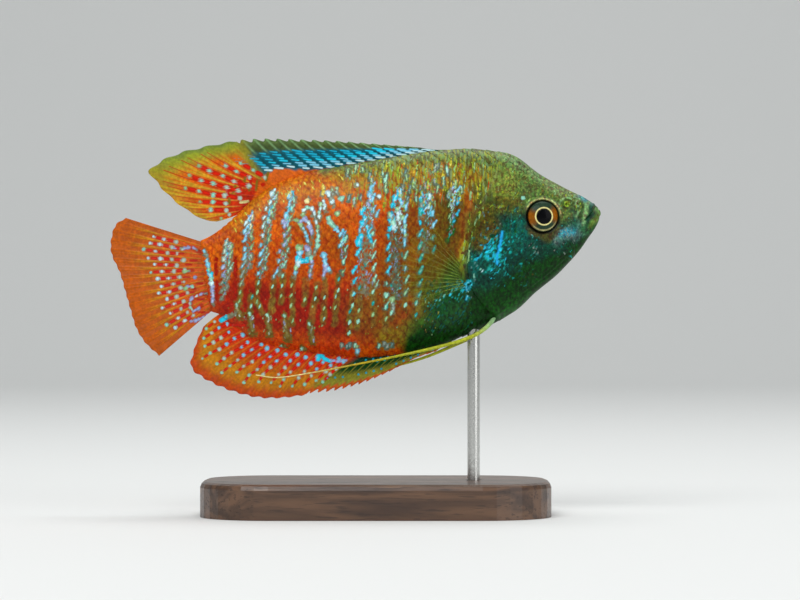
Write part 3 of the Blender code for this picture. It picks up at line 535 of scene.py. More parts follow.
# Single streaks between the strands of the front bars.
ACCENTS = [
    ([(364.5, 217), (368, 231), (371.5, 246)], (1.7, 2.2), "cyan"),
    ([(361, 236), (359.5, 246)], (2.6, 3.0), "cyan"),
    ([(369, 204), (372, 213)], (1.6, 1.8), "lilac"),
    ([(391, 214), (394, 231)], (2.6, 4.2), "azure"),
    ([(389, 214), (390, 224)], (1.6, 2.4), "cyan"),
    ([(398, 209), (399.5, 227)], (1.7, 1.6), "white_blue"),
    ([(403, 217), (405, 231), (405, 244)], (1.6, 2.0), "sky"),
    ([(400, 196), (402, 206)], (2.2, 1.5), "sky"),
    ([(421, 200), (420, 218)], (2.3, 2.0), "bright_teal"),
    ([(392, 299), (393, 312)], (2.2, 2.0), "haze"),
]
# Olive columns between the deep red stripes of the lower flank.
LOW_COLUMNS = [
    [(243, 272), (240, 302)], [(252, 296), (250, 314)], [(259, 279), (257, 300), (262, 313)],
    [(274, 278), (272, 312)],
    [(284, 274), (281, 302)], [(293, 278), (292, 324)], [(306, 280), (305, 304)],
    [(318, 284), (316, 300), (311, 324)],
    [(325, 280), (324, 322)], [(339, 276), (337, 300), (335, 324)], [(354, 290), (352, 305), (349, 333)],
    [(361, 286), (360, 306), (357, 328)], [(374, 284), (373, 324)], [(387, 294), (385, 330)],
    [(394, 292), (391, 318)],
    [(405, 288), (405, 308)], [(418, 286), (417, 316)],
]
# Pale windows low on the flank: middle, top and bottom.
WINDOWS = [(251, 312, 333), (268.5, 313, 335), (286, 314, 339), (311, 322, 341), (283, 345, 350),
           (303, 347, 352),
           (238, 303, 316)]


def blobs_on(path, cells_u, cells_v, tolerance):
    """The lattice cells along a bar: their u, v and share of the way down."""
    path = np.array(path)
    bar_u = np.interp(cells_v, path[:, 1], path[:, 0])
    inside = (cells_v > path[0, 1]) & (cells_v < path[-1, 1])
    near = inside & (np.abs(cells_u - bar_u) < tolerance)
    order = np.argsort(cells_v[near])
    u = (bar_u + 0.45 * (cells_u - bar_u))[near][order]
    v = cells_v[near][order]
    return u, v, (v - path[0, 1]) / (path[-1, 1] - path[0, 1])


# Marks that lie across the edge between the body and a fin.
BASE_SPOTS = (stroke([(221, 320), (226, 317)], 3.2, "cyan")
              + stroke([(227, 317), (237, 312)], 5.5, "bar_grey", 0.6)
              + stroke([(224, 324), (244, 325)], 4.5, "flame", 0.6)
              + dot(263, 184, 6.0, "flame", 0.0, 0.0, 0.6)
              + stroke([(240, 202), (248, 201)], 3.4, "pale_yellow", 0.55) + dot(229, 214, 2.4, "pearl"))

HALO_REACH = 7.0


def bead(u, v, size, colour, tall, slant, halo, top=1.15):
    """A bright blob in a dull halo, as each scale of a bar shows it."""
    ends = [(u + slant, v - tall), (u - slant, v + tall)]
    return stroke(ends, (1.12 * size, 0.85 * size), colour, top) + stroke(ends, HALO_REACH, halo, 0.52)


# The bars behind this pixel column have smaller and brighter beads, and the dots ahead of the second one are
# larger and bluer.
REAR_BARS_END, FRONT_DOTS_START = 350, 345


def strand_marks(spots, names, radius, halo, tall, salt):
    """A strand's beads, which shrink and change colour on the way down."""
    marks = []
    for a, b, t in zip(*spots):
        size = radius * (1.2 - 0.3 * t) * (0.7 + 0.6
                                           * random_at(a, b, salt)) * (0.87 if a < REAR_BARS_END else 1.0)
        name = names[min(int(3 * t + 0.8 * random_at(b, a, salt) - 0.4), 2)]
        slant = 1.4 * (random_at(a, b, salt + 3) - 0.2)
        top = 1.03 if a < REAR_BARS_END else 0.93
        marks += bead(a + 1.4 * (random_at(b, a, salt + 4) - 0.5), b, size, name, tall * (1 - 0.5 * t),
                      slant * (1 - 0.5 * t),
                      halo, top)
        if random_at(a, b, salt + 7) > 0.3:
            marks += stroke([(a + 2.6, b - 5.0), (a + 0.8, b - 1.8)], 0.7 * size, name, 0.95)
    return marks


def low_dots(path, cells_u, cells_v, reach, salt):
    """Small pale dots down an olive column, larger towards the head."""
    spots = blobs_on(path, cells_u, cells_v, reach)
    marks = []
    for a, b in zip(*spots[:2]):
        if random_at(a, b, salt + 5) > 0.2:
            name = ("pale_green", "mint",
                    "bright_teal")[int(2.2 * random_at(b, a, salt + 6) + (a > FRONT_DOTS_START) * 0.7)]
            size = 1.4 + 0.5 * random_at(a, b, salt) + 0.5 * (a > FRONT_DOTS_START)
            marks += dot(a, b, size, name, 2.2, 0.4, 0.95)
    return marks


CHAIN_SECOND = ("pale_green", "haze", "mint", "white_blue")


def chain(path, radius, colour, salt, halo="bar_grey"):
    """A path drawn in uneven beads of about a scale's height."""
    path = even_path(path, 2 + int(sum(math.dist(a, b) for a, b in zip(path[:-1], path[1:])) / 5.0))
    radii = np.linspace(*radius, len(path)) if isinstance(radius, tuple) else np.full(len(path), radius)
    marks = []
    for k in range(len(path) - 1):
        (au, av), (bu, bv) = path[k], path[k + 1]
        size = radii[k] * (0.85 + 0.6 * random_at(au, av, salt))
        name = colour if random_at(av, au, salt) > 0.35 else CHAIN_SECOND[k % len(CHAIN_SECOND)]
        shift = 1.6 * (random_at(av, au, salt + 1) - 0.5)
        reach = 0.25 + 0.4 * random_at(au, av, salt + 2)
        ends = [(au + shift, av), (au + shift + reach * (bu - au), av + reach * (bv - av))]
        marks += stroke(ends, (1.25 * size, 0.85 * size), name, 1.05)
        marks += stroke([(au, av), (bu, bv)], HALO_REACH, halo, 0.48)
    return marks


# The colours of the streaks between a bar's strands, high and low on the flank.
HIGH_STREAKS = ["sky", "cyan", "haze", "white_blue", "lilac", "mint"]
LOW_STREAKS = ["haze", "lilac", "tan", "mint", "bright_teal"]


def bar_marks(salt):
    """The pale bars of the flank: two strands of beads, a bead to a scale, with duller streaks between."""
    _, _, x, _, z = body_cells()
    cells_u, cells_v = in_photo(x, z)
    reach = 0.52 * COLUMN / PIXEL
    draws = np.random.default_rng(40 + salt)
    marks = []
    for rear, front, rear_colours, front_colours, rear_radius, front_radius, fill in BARS:
        marks += strand_marks(blobs_on(rear, cells_u, cells_v, reach), rear_colours.split(), rear_radius,
                              fill, 1.5, salt)
        marks += strand_marks(blobs_on(front, cells_u, cells_v, reach), front_colours.split(),
                              front_radius, fill, 2.5, salt + 1)
        top, bottom = max(rear[0][1], front[0][1]), min(rear[-1][1], front[-1][1])
        for v in np.arange(top, bottom, 2.6):
            left, right = (np.interp(v, [b for a, b in path], [a for a, b in path]) for path in (rear, front))
            reach_out = 2.0 * (0.5 * (right - left) + 2.0)
            middle = (left + right) / 2 + draws.uniform(-1.0, 1.0)
            marks += stroke([(middle, v), (middle, v + 2.6)], reach_out, fill, draws.uniform(0.05, 0.42))
            high = v < top + 0.4 * (bottom - top)
            for _ in range(3 if high else 2):
                u = left + (right - left) * draws.uniform(0.1, 0.9)
                names = HIGH_STREAKS if high else LOW_STREAKS
                slope = draws.uniform(-1.6, 1.6)
                marks += stroke([(u - slope, v - 2.0), (u + slope, v + 2.0)], draws.uniform(0.7, 1.3),
                                str(draws.choice(names)),
                                0.75 if high else 0.6)
    for path, radius, colour in LOOPS + ACCENTS:
        marks += chain(path, radius, colour, salt)
    for path in LOW_COLUMNS:
        marks += low_dots(path, cells_u, cells_v, reach, salt)
    for u in (342, 347, 350, 355, 379, 384, 387, 392):
        v = 345 + 3 * (random_at(u, 7, salt) - 0.5)
        marks += bead(u, v, 1.5 + 0.6 * random_at(u, 8, salt), ("haze", "mint", "grey_blue")[u % 3], 1.2,
                      0.3, "grey_green")
    marks += chain([(357, 346), (357, 354)], 1.8, "sky", salt)
    for middle, top, bottom in WINDOWS:
        marks += stroke([(middle - 1, top), (middle + 1.5, bottom)], (8.0, 12.0), "tan", 0.52)
        marks += stroke([(middle - 1, top + 4), (middle + 1.5, bottom - 3)], (4.5, 6.5), "window", 0.62)
        marks += stroke([(middle - 1.4, top + 1), (middle - 0.8, top + 3)], (1.8, 1.2), "mint", 1.15)
        for _ in range(5):
            u, v = middle + draws.normal(0, 2.2), draws.uniform(top + 3, bottom)
            marks += stroke([(u, v - 1.6), (u + 0.6, v + 1.6)], draws.uniform(0.8, 1.4),
                            str(draws.choice(["haze", "pearl", "bar_grey", "lilac"])),
                            draws.uniform(0.6, 1.0))
    marks += chain([(204, 250), (207, 262), (210, 275), (212, 288)], (1.5, 2.2), "sky", salt)
    marks += chain([(209, 270), (210, 278)], 2.2, "cyan", salt)
    for path in ([(216, 258), (216, 274)], [(217, 282), (216, 298)], [(236, 258), (235, 296)],
                 [(224, 306), (232, 304)]):
        marks += stroke(path, 5.0, "red", 0.55)
    marks += BASE_SPOTS
    marks += chain([(212, 286), (213, 304)], (2.0, 1.6), "lilac", salt)
    return marks


def streak_marks(salt):
    """Small flecks of the back, the nape and the lower flank."""
    draws = np.random.default_rng(salt)
    marks = []
    for _ in range(260):
        u = draws.triangular(335, 430, 500)
        v = draws.uniform(162, 206) - (u - 410) * 0.04
        colour = str(draws.choice(["yellow_green", "yellow_green", "yellow", "pale_green", "yellow_orange",
                                   "orange"]))
        marks += dot(u, v, draws.uniform(0.9, 1.4), colour, draws.uniform(2.5, 6.0), 0.1, 0.7)
    for _ in range(34):
        u, v = draws.uniform(345, 462), draws.uniform(166, 200)
        marks += bead(u, v, draws.uniform(0.8, 1.3),
                      str(draws.choice(["mint", "haze", "grey_blue", "pale_green"])),
                      draws.uniform(1.5, 4.0), draws.uniform(-0.4, 0.8), "grey_green")
    for _ in range(300):
        u, v = draws.uniform(330, 505), draws.uniform(146, 172)
        name = str(draws.choice(["yellow_green", "pale_green", "olive_dark", "olive"]))
        marks += dot(u, v, draws.uniform(0.7, 1.1), name, draws.uniform(0.6, 2.0), 0.2, 0.55)
    for _ in range(30):
        u = draws.uniform(232, 345)
        v = np.interp(u, [232, 274, 345], [222, 192, 172]) + draws.uniform(0, 12)
        marks += dot(u, v, draws.uniform(0.9, 1.4), "yellow", draws.uniform(1.2, 2.4), -0.6)
    for _ in range(90):
        u, v = draws.uniform(225, 440), draws.uniform(288, 335)
        marks += dot(u, v, draws.uniform(0.9, 1.5),
                     str(draws.choice(["pale_green", "tan", "olive_yellow"])), 1.2, 0.3, 0.7)
    return marks


def head_marks(salt):
    """The spangles and streaks of the head and the breast."""
    draws = np.random.default_rng(salt)
    marks = stroke([(501, 232), (500, 240), (497.5, 250), (495.5, 263)], (1.1, 1.7), "blue", 1.4)
    for _ in range(560):
        if draws.random() < 0.5:
            u, v = draws.normal(494, 14), draws.normal(252, 13)
        else:
            u, v = draws.uniform(484, 536), draws.uniform(208, 286)
        near = math.exp(-((u - 490) / 16) ** 2 - ((v - 256) / 15) ** 2)
        if u < 470 or v < draws.uniform(202, 228) + max(0, 502 - u) * 0.9:
            continue
        bright = ["cyan", "bright_teal", "teal_dark", "azure", "teal_dark", "teal"]
        names = bright if draws.random() < near else ["bright_teal", "teal", "teal_dark", "throat"]
        du, dv = draws.uniform(-3.2, 3.2), draws.uniform(-3.2, 3.2)
        bend = draws.uniform(-1.5, 1.5)
        size = draws.uniform(0.7, 1.2) + 0.2 * near
        marks += stroke([(u, v), (u + du / 2 + bend, v + dv / 2 - bend), (u + du, v + dv)], size,
                        str(draws.choice(names)),
                        0.55 + 0.6 * near)
    for _ in range(60):
        u, v = draws.triangular(492, 514, 531), draws.triangular(202, 238, 252)
        slope = draws.uniform(-1.2, 1.2)
        name = str(draws.choice(["teal", "teal", "bright_teal", "green", "teal_dark"]))
        marks += stroke([(u - slope, v - 2), (u + slope, v), (u, v + 2)], draws.uniform(0.8, 1.2), name, 0.6)
    for _ in range(620):
        u, v = draws.uniform(468, 580), draws.uniform(150, 214)
        names = ["yellow_green", "olive_yellow", "pale_green", "olive_dark", "olive_dark", "brown"]
        marks += dot(u, v, draws.uniform(0.8, 1.5), str(draws.choice(names)), draws.uniform(0.5, 1.8), 0.4,
                     0.55)
    for _ in range(120):
        u, v = draws.uniform(528, 574), draws.uniform(218, 258)
        names = ["bright_teal", "teal", "teal_dark", "haze"]
        marks += dot(u, v, draws.uniform(0.8, 1.6), str(draws.choice(names)), draws.uniform(0.3, 1.6),
                     -0.6, 0.62)
    for _ in range(26):
        u, v = draws.normal(567, 5), draws.normal(233.5, 3)
        marks += dot(u, v, draws.uniform(1.0, 1.8), str(draws.choice(["azure", "grey_blue", "haze"])), 1.0,
                     -0.9, 0.45)
    marks += dot(522, 198.5, 2.2, "mint", 0.0, 0.0, 1.2)
    for _ in range(60):
        v = draws.uniform(206, 264)
        u = np.interp(v, [206, 240, 264], [477, 468, 466]) + draws.normal(0, 2.2)
        marks += dot(u, v, draws.uniform(0.8, 1.3),
                     str(draws.choice(["yellow_green", "pale_green", "green"])), 3.0, 0.2, 0.7)
    for _ in range(60):
        u, v = draws.uniform(474, 500), draws.uniform(204, 240)
        marks += dot(u, v, draws.uniform(0.9, 1.8),
                     str(draws.choice(["olive_dark", "grey_blue", "olive_yellow"])), 1.8, -0.3, 0.6)
    for _ in range(330):
        u, v = draws.uniform(424, 472), draws.uniform(280, 332)
        edge = math.exp(-(((v - 292) + (u - 450) * 0.5) / 9) ** 2)
        bright = ["cyan", "bright_teal", "bright_teal"] if u > 447 else ["bright_teal", "teal", "green"]
        names = bright if draws.random() < edge else ["teal", "green", "teal_dark"]
        marks += dot(u, v, draws.uniform(0.8, 1.7), str(draws.choice(names)), draws.uniform(0.4, 1.8), 0.6,
                     0.6 + 0.35 * edge)
    marks += chain([(465, 284), (468, 293), (466, 301)], (1.4, 1.8), "azure", salt, "teal")
    marks += chain([(471, 266), (474, 276), (472, 283)], 0.9, "grey_blue", salt, "teal")
    marks += chain([(474, 262), (478, 268), (485, 272)], 0.9, "grey_blue", salt, "teal")
    return marks


WASHES = [
    # colour, radius, feather, strength, path
    ("bright_orange", 26, 30, 0.8, [(215, 240), (235, 222), (300, 205), (345, 204)]),
    ("orange_brown", 12, 20, 0.35, [(312, 228), (330, 240), (350, 250)]),
    ("red", 12, 26, 0.9, [(236, 302), (290, 308), (350, 310), (385, 312)]),
    ("deep_red", 12, 18, 0.6, [(262, 304), (320, 312), (352, 314)]),
    ("scarlet", 5, 10, 0.7, [(250, 345), (300, 352), (345, 352)]),
    ("orange_brown", 14, 26, 0.85, [(420, 215), (408, 250), (398, 290), (372, 312)]),
    ("ochre", 6, 12, 0.85, [(388, 338), (408, 333), (424, 328)]),
    ("yellow_orange", 5, 12, 0.5, [(345, 184), (300, 188), (262, 196), (236, 220)]),
    ("olive_yellow", 6, 18, 0.7, [(345, 166), (380, 170), (420, 174), (470, 178)]),
    ("olive", 9, 14, 0.97, [(325, 158), (380, 152), (430, 148), (475, 150), (520, 162)]),
    ("grey_green", 4, 9, 0.4, [(325, 158), (380, 152), (430, 147), (475, 148), (515, 156)]),
    ("olive", 9, 12, 0.9, [(492, 164), (494, 180), (488, 200)]),
    ("brown", 9, 14, 0.85, [(450, 206), (448, 230), (440, 262), (426, 284)]),
    ("olive_yellow", 3, 8, 0.4, [(482, 198), (474, 222), (465, 250), (461, 276)]),
    ("yellow_green", 1.5, 6, 0.8, [(477, 214), (472, 230), (466, 246), (463, 262)]),
    ("green", 2, 7, 0.75, [(476, 238), (473, 252), (469, 270)]),
    ("olive_dark", 5, 9, 0.7, [(482, 190), (474, 214), (473, 230)]),
    ("green", 5, 22, 0.85, [(456, 278), (440, 298), (428, 318), (420, 336)]),
    ("deep_green", 10, 20, 0.97, [(456, 298), (450, 312), (454, 330)]),
    ("throat", 13, 10, 1.0, [(500, 322), (484, 296), (484, 308), (472, 330), (450, 342), (420, 346)]),
]
HEAD_WASHES = [
    ("olive", 24, 14, 0.97, [(478, 158), (510, 165), (545, 185), (575, 200)]),
    ("olive_dark", 10, 14, 0.5, [(500, 208), (535, 198), (560, 208)]),
    ("olive_yellow", 8, 14, 0.3, [(478, 178), (502, 184)]),
    ("teal_dark", 26, 12, 0.97, [(484, 258), (505, 250), (528, 248)]),
    ("teal", 10, 16, 0.6, [(484, 258), (500, 248), (512, 238)]),
    ("teal_dark", 14, 10, 0.85, [(478, 284), (500, 280), (528, 268)]),
    ("throat", 12, 14, 0.97, [(478, 312), (505, 300), (535, 278), (560, 256), (582, 236)]),
    ("green", 4, 10, 0.45, [(486, 322), (520, 304)]),
    ("teal_dark", 8, 9, 0.8, [(536, 246), (556, 240), (572, 228)]),
    ("grey_blue", 3, 9, 0.7, [(558, 238), (570, 232), (580, 228)]),
    ("azure", 1.5, 5, 0.6, [(562, 234), (571, 231)]),
    ("teal", 2, 5, 0.6, [(572, 208), (576, 211)]),
    ("teal", 2, 6, 0.5, [(574, 219), (573, 227)]),
    ("grey_blue", 2, 6, 0.6, [(580, 195), (586, 200), (596, 209)]),
    ("olive_yellow", 3, 7, 0.2, [(545, 184), (556, 190), (568, 196)]),
    ("haze", 1, 8, 0.25, [(500, 153), (530, 170), (550, 186), (575, 197)]),
    ("brown", 8, 10, 0.9, [(478, 214), (486, 228), (480, 240)]),
    ("brown", 3, 8, 0.6, [(496, 206), (514, 202)]),
    ("olive_dark", 5, 8, 0.6, [(575, 214), (588, 210)]),
    ("green", 3, 6, 0.7, [(584, 228), (594, 218)]),
    ("azure", 0.5, 4, 0.35, [(581, 196), (584, 199)]),
    ("grey_blue", 1.5, 4, 0.8, [(593, 204), (598, 211)]),
    # Painted shadow along the mouth's cleft.
    ("teal_dark", 1.0, 3.5, 0.85, [(592, 208), (589, 213), (586, 219)]),
    ("pale_green", 1.0, 3.0, 0.45, [(586.5, 203), (585, 208), (583, 213)]),
    ("olive", 1.5, 5, 0.7, [(598, 210), (597, 214), (592, 220)]),
    ("yellow_green", 0.5, 4, 0.22, [(598, 213), (594, 219), (589, 226)]),
    ("pale_green", 0.3, 1.8, 0.35, [(578, 206), (577.5, 212), (576, 218)]),
    ("throat", 0.4, 2.0, 0.6, [(581.5, 206), (580.5, 212), (579, 218)]),
    ("pale_green", 0.3, 2.0, 0.5, [(583, 217), (581, 224)]),
    ("teal_dark", 0.6, 3.0, 0.6, [(571, 208), (574, 210)]),
    ("teal_dark", 0.6, 3.5, 0.5, [(574, 219), (573, 225)]),
    ("olive_dark", 3, 4, 0.8, [(566, 204), (577, 205)]),
    ("brown", 2, 5, 0.7, [(530, 230), (544, 236), (556, 231)]),
]


def washed(colour, u, v, washes):
    """The colours with each wash laid over them along its path, in the photograph's pixels."""
    for name, radius, feather, strength, path in washes:
        distance = path_distance(u, v, path)
        colour = blend(colour, name, strength * (1 - smoothstep(radius, radius + feather, distance)))
    return colour


def ground_colour(x, z, u, v):
    """The skin's colour under its marks."""
    wobble = 5.0 * (ripple(u, v, 9.0, 3) - 0.5)
    body = washed(base_colour("orange", len(x)), u + wobble, v + wobble, WASHES)
    shaken = u + 2.6 * (ripple(u, v, 5.0, 6) - 0.5)
    patchy = np.clip(0.45 + 0.8 * ripple(u, v, 6.0, 8), 0, 1)
    for path in LOW_COLUMNS:
        column = 1 - smoothstep(1.5, 4.4, path_distance(shaken, v, path))
        body = blend(body, "tan", 0.95 * patchy * column)
    colour = washed(base_colour("olive_dark", len(x)), u + wobble, v + wobble, HEAD_WASHES)
    eye = np.hypot(x - EYE_X, z - EYE_Z)
    colour = blend(colour, "black", 0.9 * bump(np.maximum(eye - 2.4, 0), 0.17))
    upper = smoothstep(0.2, 1.5, z - EYE_Z + 0.35 * (x - EYE_X)) * bump(eye - 2.56, 0.10)
    colour = blend(colour, "pale_yellow", 0.7 * upper)
    colour = blend(colour, "pale_green", 0.6 * bump(path_distance(x, z, BROW), 0.13))
    gape = path_distance(x, z, GAPE)
    # Painted shadow in the mouth's cleft, along the gape.
    colour = blend(colour, "throat", 0.75 * bump(gape, 0.10) * smoothstep(32.9, 34.0, x))
    front = np.hypot(x - FRONT_NOSTRIL[0], z - FRONT_NOSTRIL[1])
    rear = np.hypot(x - REAR_NOSTRIL[0], z - REAR_NOSTRIL[1])
    colour = blend(colour, "olive_dark", 0.9 * bump(rear - 0.62, 0.18))
    colour = blend(colour, "pale_green",
                   0.7 * bump(rear - 0.95, 0.12) * smoothstep(0.1, 0.7, z - REAR_NOSTRIL[1]))
    colour = blend(colour, "yellow_green", 0.8 * (1 - smoothstep(0.34, 0.5, rear)))
    colour = blend(colour, "pale_green",
                   0.7 * bump(front - 0.36, 0.13) * smoothstep(0.3, -0.2, x - FRONT_NOSTRIL[0]))
    # Painted shade in the nostrils' pits.
    colour = blend(colour, "olive_dark", 0.95 * np.maximum(0.8 * bump(rear, 0.16), bump(front, 0.20)))
    ahead = ahead_of_gill(x, z)
    nape = smoothstep(6.5, 9.0, z)
    share = smoothstep(-0.15, 0.15, ahead) * (1 - nape) + smoothstep(-3.0, 3.0, ahead) * nape
    colour = body + (colour - body) * share[:, None]
    # Painted shade in the groove under the gill cover's edge.
    slit_shade = bump(ahead + 0.2, 0.2) * smoothstep(-10.5, -9.0, z) * (1 - smoothstep(4.5, 6.5, z))
    colour = blend(colour, "throat", 0.75 * slit_shade)
    light = 0.86 + 0.28 * ripple(x, z, 2.2, 11)
    return colour * light[:, None]


def paint(x, z, salt):
    """The skin's attributes at side-view places: ground, the marks' tint and field, flecks, streaks."""
    u, v = in_photo(x, z)
    ahead = ahead_of_gill(x, z)
    ground = ground_colour(x, z, u, v)
    field, tint = draw(MARKS[salt], u, v)
    head_field, head_tint = draw(HEAD_MARKS[salt], u, v)
    on_head = (ahead > -1.5) | (v > 278) & (u > 420)
    use = on_head & ((head_field > field) | (ahead > 0) & (z < 6.5))
    field = np.where(use, head_field, field)
    tint = np.where(use[:, None], head_tint, tint)
    eye = np.hypot(x - EYE_X, z - EYE_Z)
    field = np.where(eye < 2.9, -1.0, field)
    fleck = smoothstep(0.0, 1.0, ahead) * (1 - smoothstep(33, 35, x))
    streak = smoothstep(330, 372, u) * (1 - smoothstep(186, 214, v)) * (1 - smoothstep(-1.5, 2.0, ahead))
    return {"ground": ground, "tint": tint, "spot": field, "fleck": fleck, "streak": streak}


MARKS = {salt: bar_marks(salt) + streak_marks(salt) for salt in (1, 2)}
HEAD_MARKS = {salt: head_marks(10 + salt) for salt in (1, 2)}


def mesh_piece(name, points, faces, attributes=None, uv=None, sharp=None):
    """A mesh object from points in metres and a list of face arrays, with its attributes by point."""
    mesh = bpy.data.meshes.new(name)
    mesh.vertices.add(len(points))
    mesh.vertices.foreach_set("co", np.asarray(points, np.float32).ravel())
    corners = np.concatenate([block.ravel() for block in faces]).astype(np.int32)
    sizes = np.concatenate([np.full(len(block), block.shape[1]) for block in faces])
    starts = np.concatenate([[0], np.cumsum(sizes)[:-1]]).astype(np.int32)
    mesh.loops.add(len(corners))
    mesh.loops.foreach_set("vertex_index", corners)
    mesh.polygons.add(len(sizes))
    mesh.polygons.foreach_set("loop_start", starts)
    mesh.update(calc_edges=True)
    mesh.validate()
    for key, values in (attributes or {}).items():
        values = np.asarray(values, np.float32)
        if values.ndim == 2:
            layer = mesh.attributes.new(key, "FLOAT_COLOR", "POINT")
            layer.data.foreach_set("color",
                                   np.hstack([values, np.ones((len(values), 1), np.float32)]).ravel())
        else:
            layer = mesh.attributes.new(key, "FLOAT", "POINT")
            layer.data.foreach_set("value", values)
    if uv is not None:
        layer = mesh.uv_layers.new(name="OFBake")
        layer.data.foreach_set("uv", np.asarray(uv, np.float32)[corners].ravel())
    mesh.polygons.foreach_set("use_smooth", np.full(len(mesh.polygons), True))
    if sharp:
        mesh.set_sharp_from_angle(angle=math.radians(sharp))
    made = bpy.data.objects.new(name, mesh)
    bpy.context.scene.collection.objects.link(made)
    return made


# The flat map: its start behind the fish's origin, its length and height in millimetres, and half the width
# of the patch that each scale has on it.
MAP_START, MAP_LENGTH, MAP_HEIGHT, MAP_PATCH = 23.0, 60.0, 122.0, 0.0015
HALF_RING = 148
SNOUT_DOME_ANGLES, SNOUT_DOME_DEPTH = (30, 55, 75, 86), 0.22


def unwrap(x, s, side):
    """Where a place of the skin lies on its flat map, the right side under the left."""
    return np.stack([(x + MAP_START) / MAP_LENGTH, 0.25 + 0.5 * (side > 0) + s / MAP_HEIGHT], axis=-1)


def skin_rings():
    """Where the skin's rings lie along the fish, closer together towards the snout."""
    coarse = np.arange(TAIL_X, 13.6, 0.36)
    middle = np.arange(13.6, 30.0, 0.13)
    fine = np.arange(30.0, 35.45, 0.10)
    return np.concatenate([coarse, middle, fine, [35.45, 35.52, 35.57, SNOUT_X]])


def build_skin():
    """One skin for the whole fish, with the head's folds, mouth, nostrils and eye sockets in its surface."""
    rings = skin_rings()
    half = HALF_RING
    share = np.linspace(0, 1, half + 1)
    low, high = arc_limits(rings)
    s = low[:, None] + (high - low)[:, None] * share[None, :]
    x = np.broadcast_to(rings[:, None], s.shape)
    point, normal = skin_frame(x, s)
    normal[:, [0, -1], 1] = 0
    normal /= np.linalg.norm(normal, axis=-1)[..., None]
    flat = relief(x.ravel(), point[..., 2].ravel()).reshape(x.shape)
    thin = np.clip(np.minimum(share, 1 - share)[None, :] * 14, 0, 1)
    point = point + normal * (flat * np.where(flat < 0, 1.0, thin))[..., None]
    point[:, [0, -1], 1] = 0.0
    colours = {side: paint(x.ravel(), point[..., 2].ravel(), salt) for side, salt in ((-1, 1), (1, 2))}
    right = point
    left = point[:, half - 1:0:-1] * (1, -1, 1)
    points = np.concatenate([right, left], axis=1)
    around = 2 * half
    rows = len(rings)

    def both(key):
        tail = colours[-1][key].shape[1:]
        one = colours[-1][key].reshape(rows, half + 1, *tail)
        other = colours[1][key].reshape(rows, half + 1, *tail)[:, half - 1:0:-1]
        return np.concatenate([one, other], axis=1).reshape(-1, *tail)

    attributes = {key: both(key) for key in colours[1]}
    uv = np.concatenate([unwrap(x, s, -1), unwrap(x, s, 1)[:, half - 1:0:-1]], axis=1)
    middle = points[-1].mean(axis=0)
    for angle in np.radians(SNOUT_DOME_ANGLES):
        dome = middle + (points[rows - 1] - middle) * math.cos(angle) + (SNOUT_DOME_DEPTH
                                                                         * math.sin(angle), 0, 0)
        points = np.concatenate([points, dome[None]])
        uv = np.concatenate([uv, uv[-1:] + (0.0004, 0)])
        attributes = {key: np.concatenate([values, values[-around:]]) for key, values in attributes.items()}
    rows = len(points)
    quads = ring_quads(rows, around)[:, [0, 3, 2, 1]]
    caps = [np.arange(around)[None, :], (np.arange(around) + (rows - 1) * around)[::-1][None, :]]
    return mesh_piece("skin", place(points.reshape(-1, 3)), [quads, *caps], attributes, uv=uv.reshape(-1, 2))


def scale_grid(size):
    """Disc coordinates of a scale's top grid, its border's order and its faces."""
    line = np.linspace(-1, 1, size)
    p, q = pairs(line, line)
    u, v = p * np.sqrt(1 - q * q / 2), q * np.sqrt(1 - p * p / 2)
    i, j = pairs(np.arange(size - 1), np.arange(size - 1))
    a = i * size + j
    top = np.stack([a, a + size, a + size + 1, a + 1], axis=1)
    border = [(0, k) for k in range(size - 1)] + [(k, size - 1) for k in range(size - 1)]
    border += [(size - 1, k) for k in range(size - 1, 0, -1)] + [(k, 0) for k in range(size - 1, 0, -1)]
    return u, v, top, np.array([r * size + c for r, c in border])


